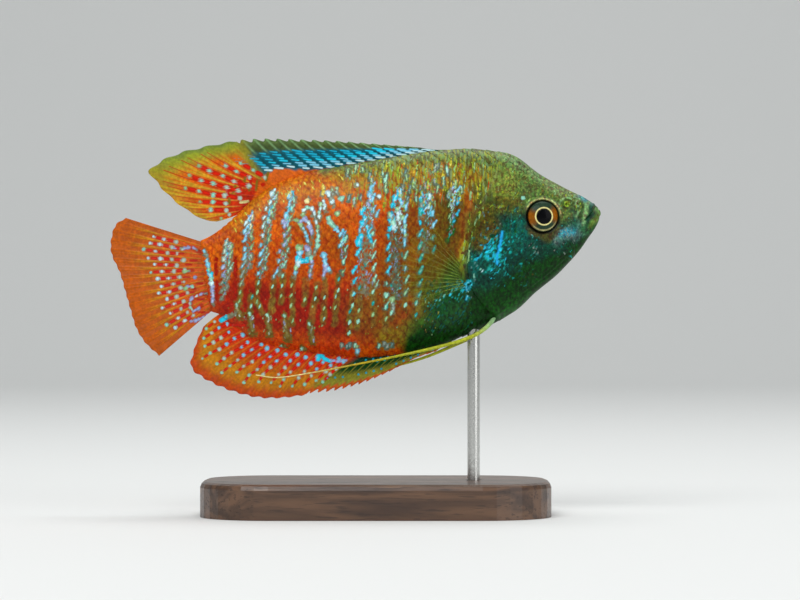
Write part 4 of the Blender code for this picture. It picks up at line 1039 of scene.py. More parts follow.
def build_coat(name, cells, side, salt, stretch, size, length, width, shift, lift, sink, thickness,
               rim_strength):
    """Overlapping scales over one side, each a closed shingle with its rear edge free."""
    c, h, x, s, _ = cells
    count = len(x)
    u, v, top, border = scale_grid(size)
    turn = (random_at(c, h, salt) - 0.5) * 0.10
    along = shift + u * length / 2
    across = v * width / 2
    lx = along[None, :] * np.cos(turn)[:, None] - across[None, :] * np.sin(turn)[:, None]
    ls = (along[None, :] * np.sin(turn)[:, None] + across[None, :] * np.cos(turn)[:, None]) * stretch[:, None]
    to_front = (u + 1) / 2
    rise = lift + (sink - lift) * to_front - 0.03 * v * v
    vary = 0.02 * (random_at(c, h, salt + 1) - 0.5)
    px, ps = x[:, None] + lx, s[:, None] + ls
    base, normal = skin_frame(px, ps)
    ground_rise = relief(px.ravel(), base[..., 2].ravel()).reshape(px.shape)
    height = ground_rise + rise[None, :] + vary[:, None]
    upper = base + normal * height[..., None]
    lower = base[:, border] + normal[:, border] * (height[:, border] - thickness)[..., None]
    points = np.concatenate([upper, lower], axis=1)
    points = points * (1, -side, 1)
    per = size * size + len(border)
    offset = (np.arange(count) * per)[:, None, None]
    tops = (top[None] + offset).reshape(-1, 4)
    around = len(border)
    after = np.roll(np.arange(around), -1)
    walls = np.stack([border[after], border, size * size + np.arange(around), size * size + after], axis=1)
    walls = (walls[None] + offset).reshape(-1, 4)
    bottom = (size * size + np.arange(around))[None, None] + offset
    bottoms = bottom.reshape(-1, around)
    faces = [tops, walls, bottoms]
    if side > 0:
        faces = [block[:, ::-1] for block in faces]
    full = np.concatenate([np.arange(size * size), border])
    painted = paint(px[:, full].ravel(), base[:, full, 2].ravel(), salt)
    shade = 0.90 + 0.20 * random_at(c, h, salt + 2)
    painted["ground"] = painted["ground"] * np.repeat(shade, per)[:, None]
    # Painted shade along each scale's rim, strongest at its raised rear edge where it stands over the next
    # scale.
    disc = np.clip(np.hypot(u, v), 0, 1)
    rim = disc**5 * (0.35 + 0.65 * smoothstep(0.3, -0.5, u)) * rim_strength
    painted["rim"] = np.tile(rim[full], count)
    patch = np.stack([u, v], axis=-1)[full] * MAP_PATCH
    uv = (unwrap(x, s, -1)[:, None] + patch[None]).reshape(-1, 2)
    return mesh_piece(name, place(points.reshape(-1, 3)), faces, painted, uv=uv, sharp=50)


def node(tree, kind, **settings):
    made = tree.nodes.new(kind)
    for key, value in settings.items():
        setattr(made, key, value)
    return made


def attribute(tree, name):
    return node(tree, "ShaderNodeAttribute", attribute_name=name)


def map_range(tree, value, low, high, to_low=0.0, to_high=1.0, smooth=True):
    made = node(tree, "ShaderNodeMapRange", interpolation_type="SMOOTHSTEP" if smooth else "LINEAR")
    tree.links.new(value, made.inputs["Value"])
    for key, number in (("From Min", low), ("From Max", high), ("To Min", to_low), ("To Max", to_high)):
        made.inputs[key].default_value = number
    return made.outputs["Result"]


def maths(tree, operation, a, b):
    made = node(tree, "ShaderNodeMath", operation=operation)
    for socket, value in zip(made.inputs, (a, b)):
        if isinstance(value, (int, float)):
            socket.default_value = value
        else:
            tree.links.new(value, socket)
    return made.outputs[0]


def mix_colour(tree, share, a, b, mode="MIX"):
    made = node(tree, "ShaderNodeMix", data_type="RGBA", blend_type=mode)
    for socket, value in ((made.inputs[0], share), (made.inputs[6], a), (made.inputs[7], b)):
        if isinstance(value, (int, float)):
            socket.default_value = value
        elif isinstance(value, tuple):
            socket.default_value = (*value, 1.0)
        else:
            tree.links.new(value, socket)
    return made.outputs[2]


def noise(tree, scale, detail=3.0, distortion=0.0, roughness=0.5):
    where = node(tree, "ShaderNodeTexCoord")
    made = node(tree, "ShaderNodeTexNoise")
    made.inputs["Scale"].default_value = scale
    made.inputs["Detail"].default_value = detail
    made.inputs["Roughness"].default_value = roughness
    made.inputs["Distortion"].default_value = distortion
    tree.links.new(where.outputs["Object"], made.inputs["Vector"])
    return made.outputs["Fac"]


def new_material(name):
    made = bpy.data.materials.new(name)
    made.use_nodes = True
    return made, made.node_tree, made.node_tree.nodes["Principled BSDF"]


def stretched_noise(tree, scale, detail=1.5):
    """Noise in object coordinates with its own scale along each axis."""
    where = node(tree, "ShaderNodeTexCoord")
    stretch = node(tree, "ShaderNodeMapping")
    stretch.inputs["Scale"].default_value = scale
    tree.links.new(where.outputs["Object"], stretch.inputs["Vector"])
    made = node(tree, "ShaderNodeTexNoise")
    made.inputs["Scale"].default_value = 1.0
    made.inputs["Detail"].default_value = detail
    made.inputs["Distortion"].default_value = 0.4
    tree.links.new(stretch.outputs["Vector"], made.inputs["Vector"])
    return made.outputs["Fac"]


def blotch(tree, colour, value, low, high, mask, strength, tint, mode="MIX"):
    """The colour with a tint laid over it where a noise passes from low to high, within a mask."""
    share = maths(tree, "MULTIPLY", map_range(tree, value, low, high, 0.0, strength), mask)
    return mix_colour(tree, share, colour, tint, mode)


def painted_colour(tree, skin, rim=False):
    """The node colour from a mesh's ground, tint, spot, fleck and streak attributes."""
    ground = attribute(tree, "ground").outputs["Color"]
    tint = attribute(tree, "tint").outputs["Color"]
    spot = attribute(tree, "spot").outputs["Fac"]
    broad = noise(tree, 700.0, 4.0)
    fine = noise(tree, 2600.0, 3.0)
    shade = map_range(tree, broad, 0.3, 0.7, 0.88, 1.12)
    colour = mix_colour(tree, 1.0, ground, shade, "MULTIPLY")
    grain = map_range(tree, fine, 0.3, 0.7, 0.82, 1.18)
    colour = mix_colour(tree, 1.0, colour, grain, "MULTIPLY")
    if skin:
        fleck = attribute(tree, "fleck").outputs["Fac"]
        streak = attribute(tree, "streak").outputs["Fac"]
        mottle = stretched_noise(tree, (2500.0, 1500.0, 1500.0), 2.5)
        colour = blotch(tree, colour, mottle, 0.50, 0.36, 1.0, 0.85, (0.80, 0.42, 0.50), "MULTIPLY")
        colour = blotch(tree, colour, mottle, 0.52, 0.64, 1.0, 0.9, (1.15, 1.45, 1.20), "MULTIPLY")
        speck = noise(tree, 3100.0, 2.0)
        colour = blotch(tree, colour, speck, 0.54, 0.66, fleck, 0.7, (2.2, 1.85, 1.6), "MULTIPLY")
        colour = blotch(tree, colour, speck, 0.47, 0.36, fleck, 0.6, (0.32, 0.42, 0.36), "MULTIPLY")
        narrow = stretched_noise(tree, (2700.0, 900.0, 560.0))
        colour = blotch(tree, colour, narrow, 0.48, 0.40, streak, 0.6, (0.10, 0.085, 0.008))
        colour = blotch(tree, colour, narrow, 0.53, 0.60, streak, 0.7, (0.33, 0.35, 0.015))
        other = stretched_noise(tree, (2300.0, 800.0, 480.0), 2.0)
        colour = blotch(tree, colour, other, 0.57, 0.64, streak, 0.7, (0.19, 0.32, 0.15))
    ragged = maths(tree, "MULTIPLY", maths(tree, "SUBTRACT", fine, 0.5), 1.3 if skin else 0.5)
    shaken = maths(tree, "ADD", spot, ragged)
    share = map_range(tree, shaken, 0.02, 0.36)
    core = map_range(tree, shaken, 0.2, 1.0, 0.75, 1.45 if skin else 1.25)
    bright = mix_colour(tree, 1.0, tint, core, "MULTIPLY")
    if skin:
        body = maths(tree, "SUBTRACT", 1.0, fleck)
        bright = blotch(tree, bright, shaken, 0.65, 1.05, body, 0.40, (0.75, 0.88, 0.80))
    colour = mix_colour(tree, share, colour, bright)
    # Painted shade: each scale darkened towards its rim, most at its raised rear edge.
    if rim:
        edge = attribute(tree, "rim").outputs["Fac"]
        dark = mix_colour(tree, 1.0, colour, (0.55, 0.35, 0.35), "MULTIPLY")
        colour = mix_colour(tree, maths(tree, "MULTIPLY", edge, 0.5), colour, dark)
    return colour, share


def fish_material(name, roughness, coat, bump_height, grain, skin=False, rim=False, alpha=False):
    made, tree, shader = new_material(name)
    colour, share = painted_colour(tree, skin, rim)
    tree.links.new(colour, shader.inputs["Base Color"])
    tree.links.new(map_range(tree, share, 0.0, 1.0, roughness, roughness * 0.75, False),
                   shader.inputs["Roughness"])
    shader.inputs["Coat Weight"].default_value = coat
    shader.inputs["Coat Roughness"].default_value = 0.16
    shader.inputs["Coat IOR"].default_value = 1.34
    shader.inputs["Specular IOR Level"].default_value = 0.10
    texture = noise(tree, grain, 4.0, 0.3)
    lumps = node(tree, "ShaderNodeBump")
    lumps.inputs["Strength"].default_value = 0.6
    lumps.inputs["Distance"].default_value = bump_height
    tree.links.new(texture, lumps.inputs["Height"])
    tree.links.new(lumps.outputs["Normal"], shader.inputs["Normal"])
    if alpha:
        tree.links.new(attribute(tree, "clear").outputs["Fac"], shader.inputs["Alpha"])
    return made


# Fins, as side-view paths in the fish's frame. RAY_STEPS is how finely roots and tips are listed for each
# ray.
MEMBRANE, RIDGE, ROOT_DEPTH = 0.14, 0.30, 1.2
RAY_STEPS, BASE_POINTS = 20, 400
DORSAL = dict(
    counts=(16, 9), share=0.72,
    base=[(14.6, 14.3), (8.0, 14.2), (0.0, 14.0), (-6.0, 13.7), (-10.0, 12.7), (-13.0, 11.2), (-15.9, 9.2)],
    spines=[(11.6, 15.0), (6.0, 16.3), (0.0, 17.6), (-5.6, 18.6), (-10.4, 19.4), (-13.6, 19.7)],
    soft=[(-15.6, 19.7), (-19.6, 19.5), (-23.8, 19.0), (-27.6, 17.4), (-26.6, 15.1), (-24.8, 12.6),
          (-22.4, 10.3), (-20.5, 9.0), (-18.9, 8.6)],
    notch=0.07, bow=0.03, wave=(0.5, 1.2, 0.4))
ANAL = dict(
    counts=(17, 14), share=0.45,
    base=[(12.6, -13.1), (8.0, -13.8), (3.0, -14.0), (-3.0, -13.4), (-9.0, -11.7), (-13.5, -10.2),
          (-16.8, -8.2),
          (-20.5, -4.8)],
    spines=[(9.6, -14.3), (6.4, -14.9), (2.4, -16.3), (-1.4, -17.3), (-5.4, -17.8), (-9.0, -17.7)],
    soft=[(-10.2, -17.9), (-13.6, -17.8), (-17.0, -17.2), (-20.8, -15.6), (-24.0, -13.5), (-25.6, -11.7),
          (-25.1, -9.9), (-24.1, -7.9), (-22.9, -6.1)],
    notch=0.09, bow=-0.03, wave=(0.45, 1.1, 2.0))
TAIL_BASE = [(-21.2, 5.9), (-21.4, 3.6), (-21.4, 1.2), (-21.2, -1.4), (-20.9, -3.7)]
TAIL_TIPS = [(-31.9, 11.0), (-33.6, 10.2), (-34.6, 8.0), (-34.7, 5.9), (-33.9, 3.4), (-33.4, 0.3),
             (-33.0, -2.5),
             (-32.6, -5.0), (-31.6, -7.3), (-29.9, -9.4)]
TAIL_RAYS = 17


class Fin:
    """A fin's sheet: a root and a tip for each place across it, counted in rays, and how it leans."""

    soft_notch = 0.025

    def __init__(self, roots, tips, spines, bow, wave, notch):
        self.roots, self.tips = np.asarray(roots), np.asarray(tips)
        self.count = (len(self.roots) - 1) // RAY_STEPS + 1
        self.spines, self.bow, self.wave, self.notch = spines, bow, wave, notch

    def ends(self, where):
        steps = np.arange(len(self.roots)) / RAY_STEPS
        root = np.stack([np.interp(where, steps, axis) for axis in self.roots.T], axis=-1)
        tip = np.stack([np.interp(where, steps, axis) for axis in self.tips.T], axis=-1)
        return root, tip

    def side(self, where, v):
        """Side-view points at places across the fin and shares v along its rays."""
        root, tip = self.ends(where)
        gap = 0.5 - 0.5 * np.cos(2 * math.pi * where)
        short = np.where(where < self.spines - 0.5, self.notch, self.soft_notch) * gap
        span = (tip - root) * (1 - short)[..., None]
        across = np.stack([-span[..., 1], span[..., 0]], axis=-1)
        v = np.asarray(v)[..., None]
        return root + span * v + across * self.bow * 4 * v * (1 - v)

    def lean(self, where, v):
        height, waves, phase = self.wave
        return height * v * v * np.sin(2 * math.pi * waves * where / (self.count - 1) + phase)


def fine_ends(paths, counts):
    """Tips or roots at RAY_STEPS steps a ray, from one path for the spines and one for the soft rays."""
    if len(counts) == 1:
        return even_path(paths[0], (counts[0] - 1) * RAY_STEPS + 1)
    spine = even_path(paths[0], (counts[0] - 1) * RAY_STEPS + 1)
    soft = even_path(paths[1], (counts[1] - 1) * RAY_STEPS + 1)
    between = np.linspace(spine[-1], soft[0], RAY_STEPS + 1)[1:-1]
    return np.vstack([spine, between, soft])


def sink_roots(roots, tips, depth):
    away = roots - tips
    return roots + depth * away / np.linalg.norm(away, axis=1)[:, None]


def long_fin(counts, share, base, spines, soft, notch, bow, wave):
    total = sum(counts)
    shares = np.concatenate([np.linspace(0, share, counts[0]), np.linspace(share, 1, counts[1] + 1)[1:]])
    fine = np.interp(np.arange((total - 1) * RAY_STEPS + 1) / RAY_STEPS, np.arange(total), shares)
    line = even_path(base, BASE_POINTS)
    roots = np.stack([np.interp(fine, np.linspace(0, 1, BASE_POINTS), axis) for axis in line.T], axis=1)
    tips = fine_ends((spines, soft), counts)
    return Fin(sink_roots(roots, tips, ROOT_DEPTH), tips, counts[0], bow, wave, notch)


def fin_grid(fin, per_ray, rows):
    where = np.arange((fin.count - 1) * per_ray + 1) / per_ray
    v = np.linspace(0, 1, rows) ** 0.95
    return np.meshgrid(where, v, indexing="ij")


def ray_crest(fin, where, v):
    """1 along each ray's crest and 0 between rays. Soft rays fork towards the margin."""
    off = where - np.round(where)
    fork = 0.17 * smoothstep(0.45, 0.9, v) * (where > fin.spines - 0.5)
    width = np.where(where > fin.spines - 0.5, 0.085, 0.11)
    return np.maximum(bump(off - fork, width), bump(off + fork, width))


def fin_piece(name, fin, per_ray, rows, paint_fin, membrane=MEMBRANE, ridge=RIDGE):
    """A closed thin sheet with rays on both faces."""
    where, v = fin_grid(fin, per_ray, rows)
    side = fin.side(where, v)
    middle = fin.lean(where, v)
    crest = ray_crest(fin, where, v)
    half = membrane / 2 * (1 - 0.5 * v) + ridge / 2 * crest * (1 - 0.75 * v)
    front = np.stack([side[..., 0], middle - half, side[..., 1]], axis=-1).reshape(-1, 3)
    back = np.stack([side[..., 0], middle + half, side[..., 1]], axis=-1).reshape(-1, 3)
    wide, tall = where.shape
    under = wide * tall
    i, j = pairs(np.arange(wide - 1), np.arange(tall - 1))
    a, b = i * tall + j, (i + 1) * tall + j
    faces = [np.stack([a, b, b + 1, a + 1], axis=1),
             np.stack([under + a, under + a + 1, under + b + 1, under + b], axis=1)]
    border = np.array([c * tall for c in range(wide)] + [(wide - 1) * tall + r for r in range(1, tall)]
                      + [c * tall + tall - 1 for c in range(wide - 2, -1, -1)] + list(range(tall - 2, 0, -1)))
    after = np.roll(border, -1)
    faces.append(np.stack([border, under + border, under + after, after], axis=1))
    colours = paint_fin(fin, where.ravel(), v.ravel(), side.reshape(-1, 2), crest.ravel())
    colours = {key: np.concatenate([values, values]) for key, values in colours.items()}
    made = mesh_piece(name, place(np.vstack([front, back])), faces, colours)
    turn_out(made)
    return made


def turn_out(obj):
    """Turns the faces out where the mesh's volume comes out negative."""
    mesh = obj.data
    points = np.empty(len(mesh.vertices) * 3, np.float32)
    mesh.vertices.foreach_get("co", points)
    points = points.reshape(-1, 3).astype(float)
    mesh.calc_loop_triangles()
    corners = np.empty(len(mesh.loop_triangles) * 3, np.int32)
    mesh.loop_triangles.foreach_get("vertices", corners)
    a, b, c = points[corners.reshape(-1, 3).T]
    if np.einsum("ij,ij->i", a, np.cross(b, c)).sum() < 0:
        mesh.flip_normals()


def ray_dots(fin, first, last, pitch, start, end, radius, colours, dash, dash_radius, salt):
    """Rows of pale dots between the rays, with dashes from dot to dot."""
    marks = []
    for gap in range(first, last):
        where = gap + 0.5
        root, tip = fin.ends(np.array([where]))
        length = float(np.linalg.norm(tip - root))
        phase = 0.5 * (gap % 2) + 0.35 * (random_at(gap, 1, salt) - 0.5)
        places = np.arange(start / pitch + phase, end * length / pitch, 1.0) * pitch
        places = places + 0.3 * np.array([random_at(gap, k, salt + 2) - 0.5 for k in range(len(places))])
        across = where + 0.26 * np.array([random_at(gap, k, salt + 3) - 0.5 for k in range(len(places))])
        spots = fin.side(across, places / length)
        u, v = in_photo(spots[:, 0], spots[:, 1])
        for k in range(len(places)):
            share = places[k] / length
            name = colours[0] if share < 0.45 else colours[1] if share < 0.65 else colours[2]
            size = radius * (1.0 - 0.35 * share) * (0.75 + 0.45 * random_at(gap, k, salt + 1))
            marks += dot(u[k], v[k], size, name, 0.4 * size, 1.2 * (random_at(k, gap, salt + 4) - 0.5))
            if k + 1 < len(places):
                du, dv = u[k + 1] - u[k], v[k + 1] - v[k]
                marks += stroke([(u[k] + 0.34 * du, v[k] + 0.34 * dv), (u[k] + 0.66 * du, v[k] + 0.66 * dv)],
                                dash_radius * (1.1 - 0.5 * share), dash, 1.0)
    return marks


def finish_fin(ground, marks, side, clear):
    """A fin's attributes, with its marks drawn in the photograph's pixels."""
    u, v = in_photo(side[:, 0], side[:, 1])
    field, tint = draw(marks, u, v)
    return {"ground": ground, "tint": tint, "spot": field, "clear": clear}


def paint_tail(fin, where, v, side, crest):
    ground = base_colour("scarlet", len(v))
    ground = blend(ground, "tail_orange", smoothstep(0.36, 0.62, v))
    ground = blend(ground, "bright_orange", 0.7 * (1 - smoothstep(0.35, 0.70, v)))
    ground = blend(ground, "yellow_orange", np.minimum(1, 1.2 * crest) * (1 - smoothstep(0.6, 0.9, v)))
    edge = np.minimum(where, fin.count - 1 - where)
    ground = blend(ground, "tail_orange", 1 - smoothstep(0.3, 1.0, edge))
    marks = ray_dots(fin, 1, fin.count - 2, 1.66, 3.6, 0.68, 2.9, ("pearl", "white_blue", "mint"), "flame",
                     2.3, 21)
    marks += stroke([(205, 258), (208, 272), (211, 286), (212, 300)], (1.8, 2.6), "cyan", 0.9)
    for path in (((211, 294), (204, 293), (197, 295), (190, 300), (190, 306), (194, 311), (201, 305)),
                 ((184, 288), (189, 285.5), (194, 288.5)), ((190, 321), (198, 319), (209, 313)),
                 ((174, 247.5), (181, 248), (191, 247), (200, 252)), ((184, 271), (192, 270))):
        marks += chain(list(path), 1.6, "lilac", 21, "scarlet")
    marks += dot(194.4, 277, 2.6, "lilac")
    for u, v, size in ((193, 260, 4.5), (188, 264, 4.0), (186, 277, 4.0), (199, 283, 4.0), (190, 292, 4.0),
                       (200, 299, 4.5),
                       (186, 304, 4.0), (201, 312, 4.0), (180, 253, 3.5)):
        marks += stroke([(u - 3, v), (u + 3, v)], size, "flame", 0.45)
    return finish_fin(ground, marks, side, 0.97 - 0.12 * smoothstep(0.5, 1.0, v) * (1 - crest))


# The lower edge of the dorsal fin's blue, in the photograph's pixels; under it the fin is orange like the
# body.
DORSAL_BASE = [(232, 262, 275, 300, 320, 341, 376, 410, 441),
               (250, 176, 169, 169.5, 170, 166.5, 160.5, 155, 150.5)]


def paint_dorsal(fin, where, v, side, crest):
    soft = smoothstep(-1.2, 1.0, where - fin.spines - 1.6 + 2.2 * v)
    front = base_colour("deep_blue", len(v))
    front = blend(front, "teal_dark", 0.5 * crest)
    front = blend(front, "olive_dark", smoothstep(0.68, 0.82, v))
    front = blend(front, "olive", 0.6 * smoothstep(0.85, 0.99, v))
    front = blend(front, "pale_green", 0.6 * crest * smoothstep(0.64, 0.8, v))
    rear = base_colour("red", len(v))
    rear = blend(rear, "scarlet", smoothstep(0.05, 0.3, v))
    rear = blend(rear, "bright_orange", smoothstep(0.3, 0.7, v))
    rear = blend(rear, "yellow_orange", smoothstep(0.72, 0.95, v))
    rear = blend(rear, "yellow", 0.7 * crest * smoothstep(0.12, 0.35, v))
    tip = smoothstep(0.72, 0.95, v) * (1 - smoothstep(18.5, 21.5, where))
    rear = blend(rear, "olive_yellow", 0.9 * tip)
    rear = blend(rear, "yellow_green", 0.5 * tip)
    rear = blend(rear, "olive", 0.7 * smoothstep(0.92, 1.0, v) * (1 - smoothstep(18, 20.5, where)))
    front = blend(front, "olive_yellow", 0.9 * smoothstep(0.0, 0.4, soft))
    ground = front + (rear - front) * smoothstep(0.35, 0.9, soft)[:, None]
    u, v_photo = in_photo(side[:, 0], side[:, 1])
    sheath = smoothstep(-1.5, 1.5,
                        v_photo - np.interp(u, DORSAL_BASE[0], DORSAL_BASE[1]) + 3.0
                        * (ripple(u, v_photo, 5.0, 14) - 0.5))
    ground = blend(ground, "bright_orange", 0.95 * sheath)
    marks = ray_dots(fin, 16, fin.count - 1, 2.0, 3.5, 0.80, 3.3, ("pearl", "mint", "pale_green"), "flame",
                     3.0, 22)
    marks += BASE_SPOTS
    for path in (((245, 175), (244, 184)), ((235, 185), (233, 193)), ((257, 180), (256, 190)),
                 ((229, 196), (229, 203)),
                 ((268, 172), (266, 180)), ((250, 184), (249, 190))):
        marks += stroke(list(path), 2.4, "ochre", 0.7)
    for path in (((240, 180), (240, 188)), ((251, 176), (250, 184)), ((227, 188), (228, 196)),
                 ((237, 193), (243, 193))):
        marks += stroke(list(path), 3.6, "flame", 0.6)
    for gap in range(17, fin.count - 1):
        for off in (-0.17, 0.17):
            spots = fin.side(np.full(4, gap + 0.5 + off), np.linspace(0.55, 0.92, 4))
            marks += stroke(list(zip(*in_photo(spots[:, 0], spots[:, 1]))), (0.8, 0.5), "scarlet", 0.75)
    for gap in range(18):
        root, tip = fin.ends(np.array([gap + 0.5]))
        length = float(np.linalg.norm(tip - root))
        for row, far in enumerate(np.arange(1.50 + 0.33 * (gap % 2), 0.74 * length, 0.66)):
            share = far / length
            half = 0.20 * (0.7 + 0.5 * random_at(gap, row, 23)) / length
            skew = 0.19 + 0.1 * random_at(row, gap, 23)
            ends = fin.side(np.array([gap + 0.5 - skew, gap + 0.5 + skew]),
                            np.array([share - half, share + half]))
            u, v_low = in_photo(ends[:, 0], ends[:, 1])
            above = np.interp(u.mean(), *DORSAL_BASE) - v_low.mean()
            ahead = fin.spines + 2.6 - gap - 0.5 - 2.2 * share
            if above > 1.0 and (ahead > 1.6 or ahead > 0 and share > 0.55):
                name = ("white_blue", "sky", "cyan", "azure")[min(int(above / 4.0), 3)]
                name = name if ahead > 1.6 else "haze"
                size = (1.55 - 0.015 * above) * (0.7 + 0.5 * random_at(gap, row, 26))
                marks += stroke(list(zip(u, v_low)), (size, 0.7 * size), name, 0.95)
    return finish_fin(ground, marks, side, 0.97 - 0.12 * smoothstep(0.6, 0.95, v) * (1 - crest))


def paint_anal(fin, where, v, side, crest):
    soft = smoothstep(-1.0, 1.0, where - 13.8 - 3.3 * v)
    front = base_colour("teal_dark", len(v))
    front = blend(front, "throat", bump(v - 0.45, 0.2))
    front = blend(front, "olive_yellow", 0.85 * smoothstep(0.5, 0.7, v))
    front = blend(front, "olive_yellow", 0.8 * crest * smoothstep(0.2, 0.5, v))
    front = blend(front, "orange", smoothstep(0.84, 0.94, v))
    rear = base_colour("scarlet", len(v))
    rear = blend(rear, "orange", smoothstep(0.25, 0.55, v))
    rear = blend(rear, "yellow_orange", 0.8 * bump(v - 0.72, 0.16))
    rear = blend(rear, "orange", smoothstep(0.84, 0.93, v))
    rear = blend(rear, "scarlet", 0.45 * smoothstep(0.9, 1.0, v))
    rear = blend(rear, "yellow_orange", 0.45 * crest * (1 - smoothstep(0.8, 0.95, v)))
    ground = front + (rear - front) * soft[:, None]
    marks = ray_dots(fin, 15, fin.count - 1, 1.42, 1.7, 0.86, 2.8, ("sky", "pearl", "mint"), "flame", 2.1, 24)
    marks += BASE_SPOTS
    for gap in range(1, 16):
        for row, (share, colour) in enumerate(((0.26, "azure"), (0.36, "bright_teal"), (0.72, "azure"))):
            if random_at(gap, row, 25) > 0.3:
                spot = fin.side(np.array([gap + 0.5]), np.array([share]))
                marks += dot(*(float(value[0]) for value in in_photo(spot[:, 0], spot[:, 1])), 1.5, colour)
    marks += stroke([(318, 359), (320, 352), (324, 358), (330, 361)], (2.4, 1.8), "cyan", 1.2)
    marks += stroke([(330, 360), (338, 361), (346, 360)], (1.8, 1.6), "lilac", 1.1)
    return finish_fin(ground, marks, side, 0.97 - 0.10 * smoothstep(0.5, 1.0, v) * (1 - crest))


def paint_pectoral(fin, where, v, side, crest):
    ground = base_colour("olive_yellow", len(v))
    ground = blend(ground, "green", 0.8 * (1 - smoothstep(0.2, 0.4, v)))
    ground = blend(ground, "yellow_green", 0.8 * crest)
    near_root = 1 - smoothstep(0.15, 0.5, v)
    clear = 0.04 + crest * (0.10 + 0.5 * near_root) + 0.25 * (1 - smoothstep(0.1, 0.32, v))
    return finish_fin(ground, [], side, clear)


PECTORAL_RAYS, PECTORAL_ROOT_HEIGHT, PECTORAL_LENGTH, PECTORAL_OUT = 12, 2.6, 9.0, 2.4
PECTORAL_TURN = (math.radians(118.0), math.radians(196.0))


class PectoralFin(Fin):
    """A pectoral fin, which leaves the flank steeply and then runs back beside it."""

    def __init__(self, body_side):
        share = np.linspace(0, 1, (PECTORAL_RAYS - 1) * RAY_STEPS + 1)
        turn = PECTORAL_TURN[0] + (PECTORAL_TURN[1] - PECTORAL_TURN[0]) * share
        length = PECTORAL_LENGTH * (0.80 + 0.20 * np.sin(math.pi * (0.15 + 0.75 * share)))
        x, z = PECTORAL_ROOT
        roots = np.stack([x - 0.25 * np.sin(math.pi * share), z + PECTORAL_ROOT_HEIGHT * (0.5 - share)],
                         axis=1)
        tips = roots + np.stack([length * np.cos(turn), length * np.sin(turn)], axis=1)
        super().__init__(roots, tips, 0, 0.0, None, 0.03)
        self.body_side = body_side
        self.start = float(skin_y(x, z)) - 0.1

    def lean(self, where, v):
        share = where / (self.count - 1)
        return self.body_side * (self.start + PECTORAL_OUT * (1 - (1 - v) ** 2.2) - 0.5 * v * v
                                 * (share - 0.3))


def skin_y(x, z):
    """Half width of the plain body at a side-view place."""
    back, belly, widest, half, back_edge, belly_edge = section_at(x)
    upper = z > widest
    rise = np.where(upper, (z - widest) / (back - widest), (widest - z) / (widest - belly))
    return half * np.sqrt(np.maximum(0, 1 - rise * rise)) ** np.where(upper, back_edge, belly_edge)


FEELER_RIGHT = [(19.0, 1.0, -9.6), (18.0, 1.45, -11.3), (15.5, 1.75, -12.7), (11.4, 1.6, -13.5),
                (4.6, 1.4, -14.1),
                (-2.0, 1.3, -14.5), (-8.5, 1.3, -14.8), (-13.2, 1.5, -14.8), (-16.3, 1.9, -14.0)]
FEELER_LEFT = [(19.0, 1.0, -9.6), (18.0, 1.45, -11.3), (15.5, 1.75, -12.8), (12.0, 1.7, -13.9),
               (8.1, 1.5, -14.9),
               (4.0, 1.4, -15.5), (-2.0, 1.4, -16.0), (-8.0, 1.5, -15.9), (-13.0, 1.8, -15.0)]
FEELER_ROOT_RADIUS, FEELER_TIP_RADIUS = 0.34, 0.08


def build_feelers():
    made = []
    for side, name, route in ((-1, "feeler_right_thread", FEELER_RIGHT),
                              (1, "feeler_left_thread", FEELER_LEFT)):
        path = even_path([(x, side * y, z) for x, y, z in route], 220)
        share = np.linspace(0, 1, len(path))
        radius = FEELER_TIP_RADIUS + (FEELER_ROOT_RADIUS - FEELER_TIP_RADIUS) * (1 - share) ** 1.6
        ahead = np.gradient(path, axis=0)
        ahead /= np.linalg.norm(ahead, axis=1)[:, None]
        across = np.cross(ahead, (0, 1, 0))
        across /= np.linalg.norm(across, axis=1)[:, None]
        up = np.cross(ahead, across)
        around = 12
        angle = np.linspace(0, 2 * math.pi, around, endpoint=False)
        ring = np.cos(angle)[None, :, None] * across[:, None] + np.sin(angle)[None, :, None] * up[:, None]
        points = path[:, None] + ring * radius[:, None, None]
        faces = [ring_quads(len(path), around), np.arange(around)[::-1][None, :],
                 (np.arange(around) + (len(path) - 1) * around)[None, :]]
        colour = base_colour("pale_green", len(path))
        colour = blend(colour, "thread", smoothstep(0.03, 0.15, share))
        colour = blend(colour, "yellow_orange", 0.45 * smoothstep(0.4, 0.6, share))
        colour = blend(colour, "pale_yellow", smoothstep(0.6, 0.9, share))
        colour = np.repeat(colour, around, axis=0)
        piece = mesh_piece(name, place(points.reshape(-1, 3)), faces,
                           {"ground": colour, "tint": colour, "spot": np.full(len(colour), -1.0)})
        turn_out(piece)
        made.append(piece)
    return made


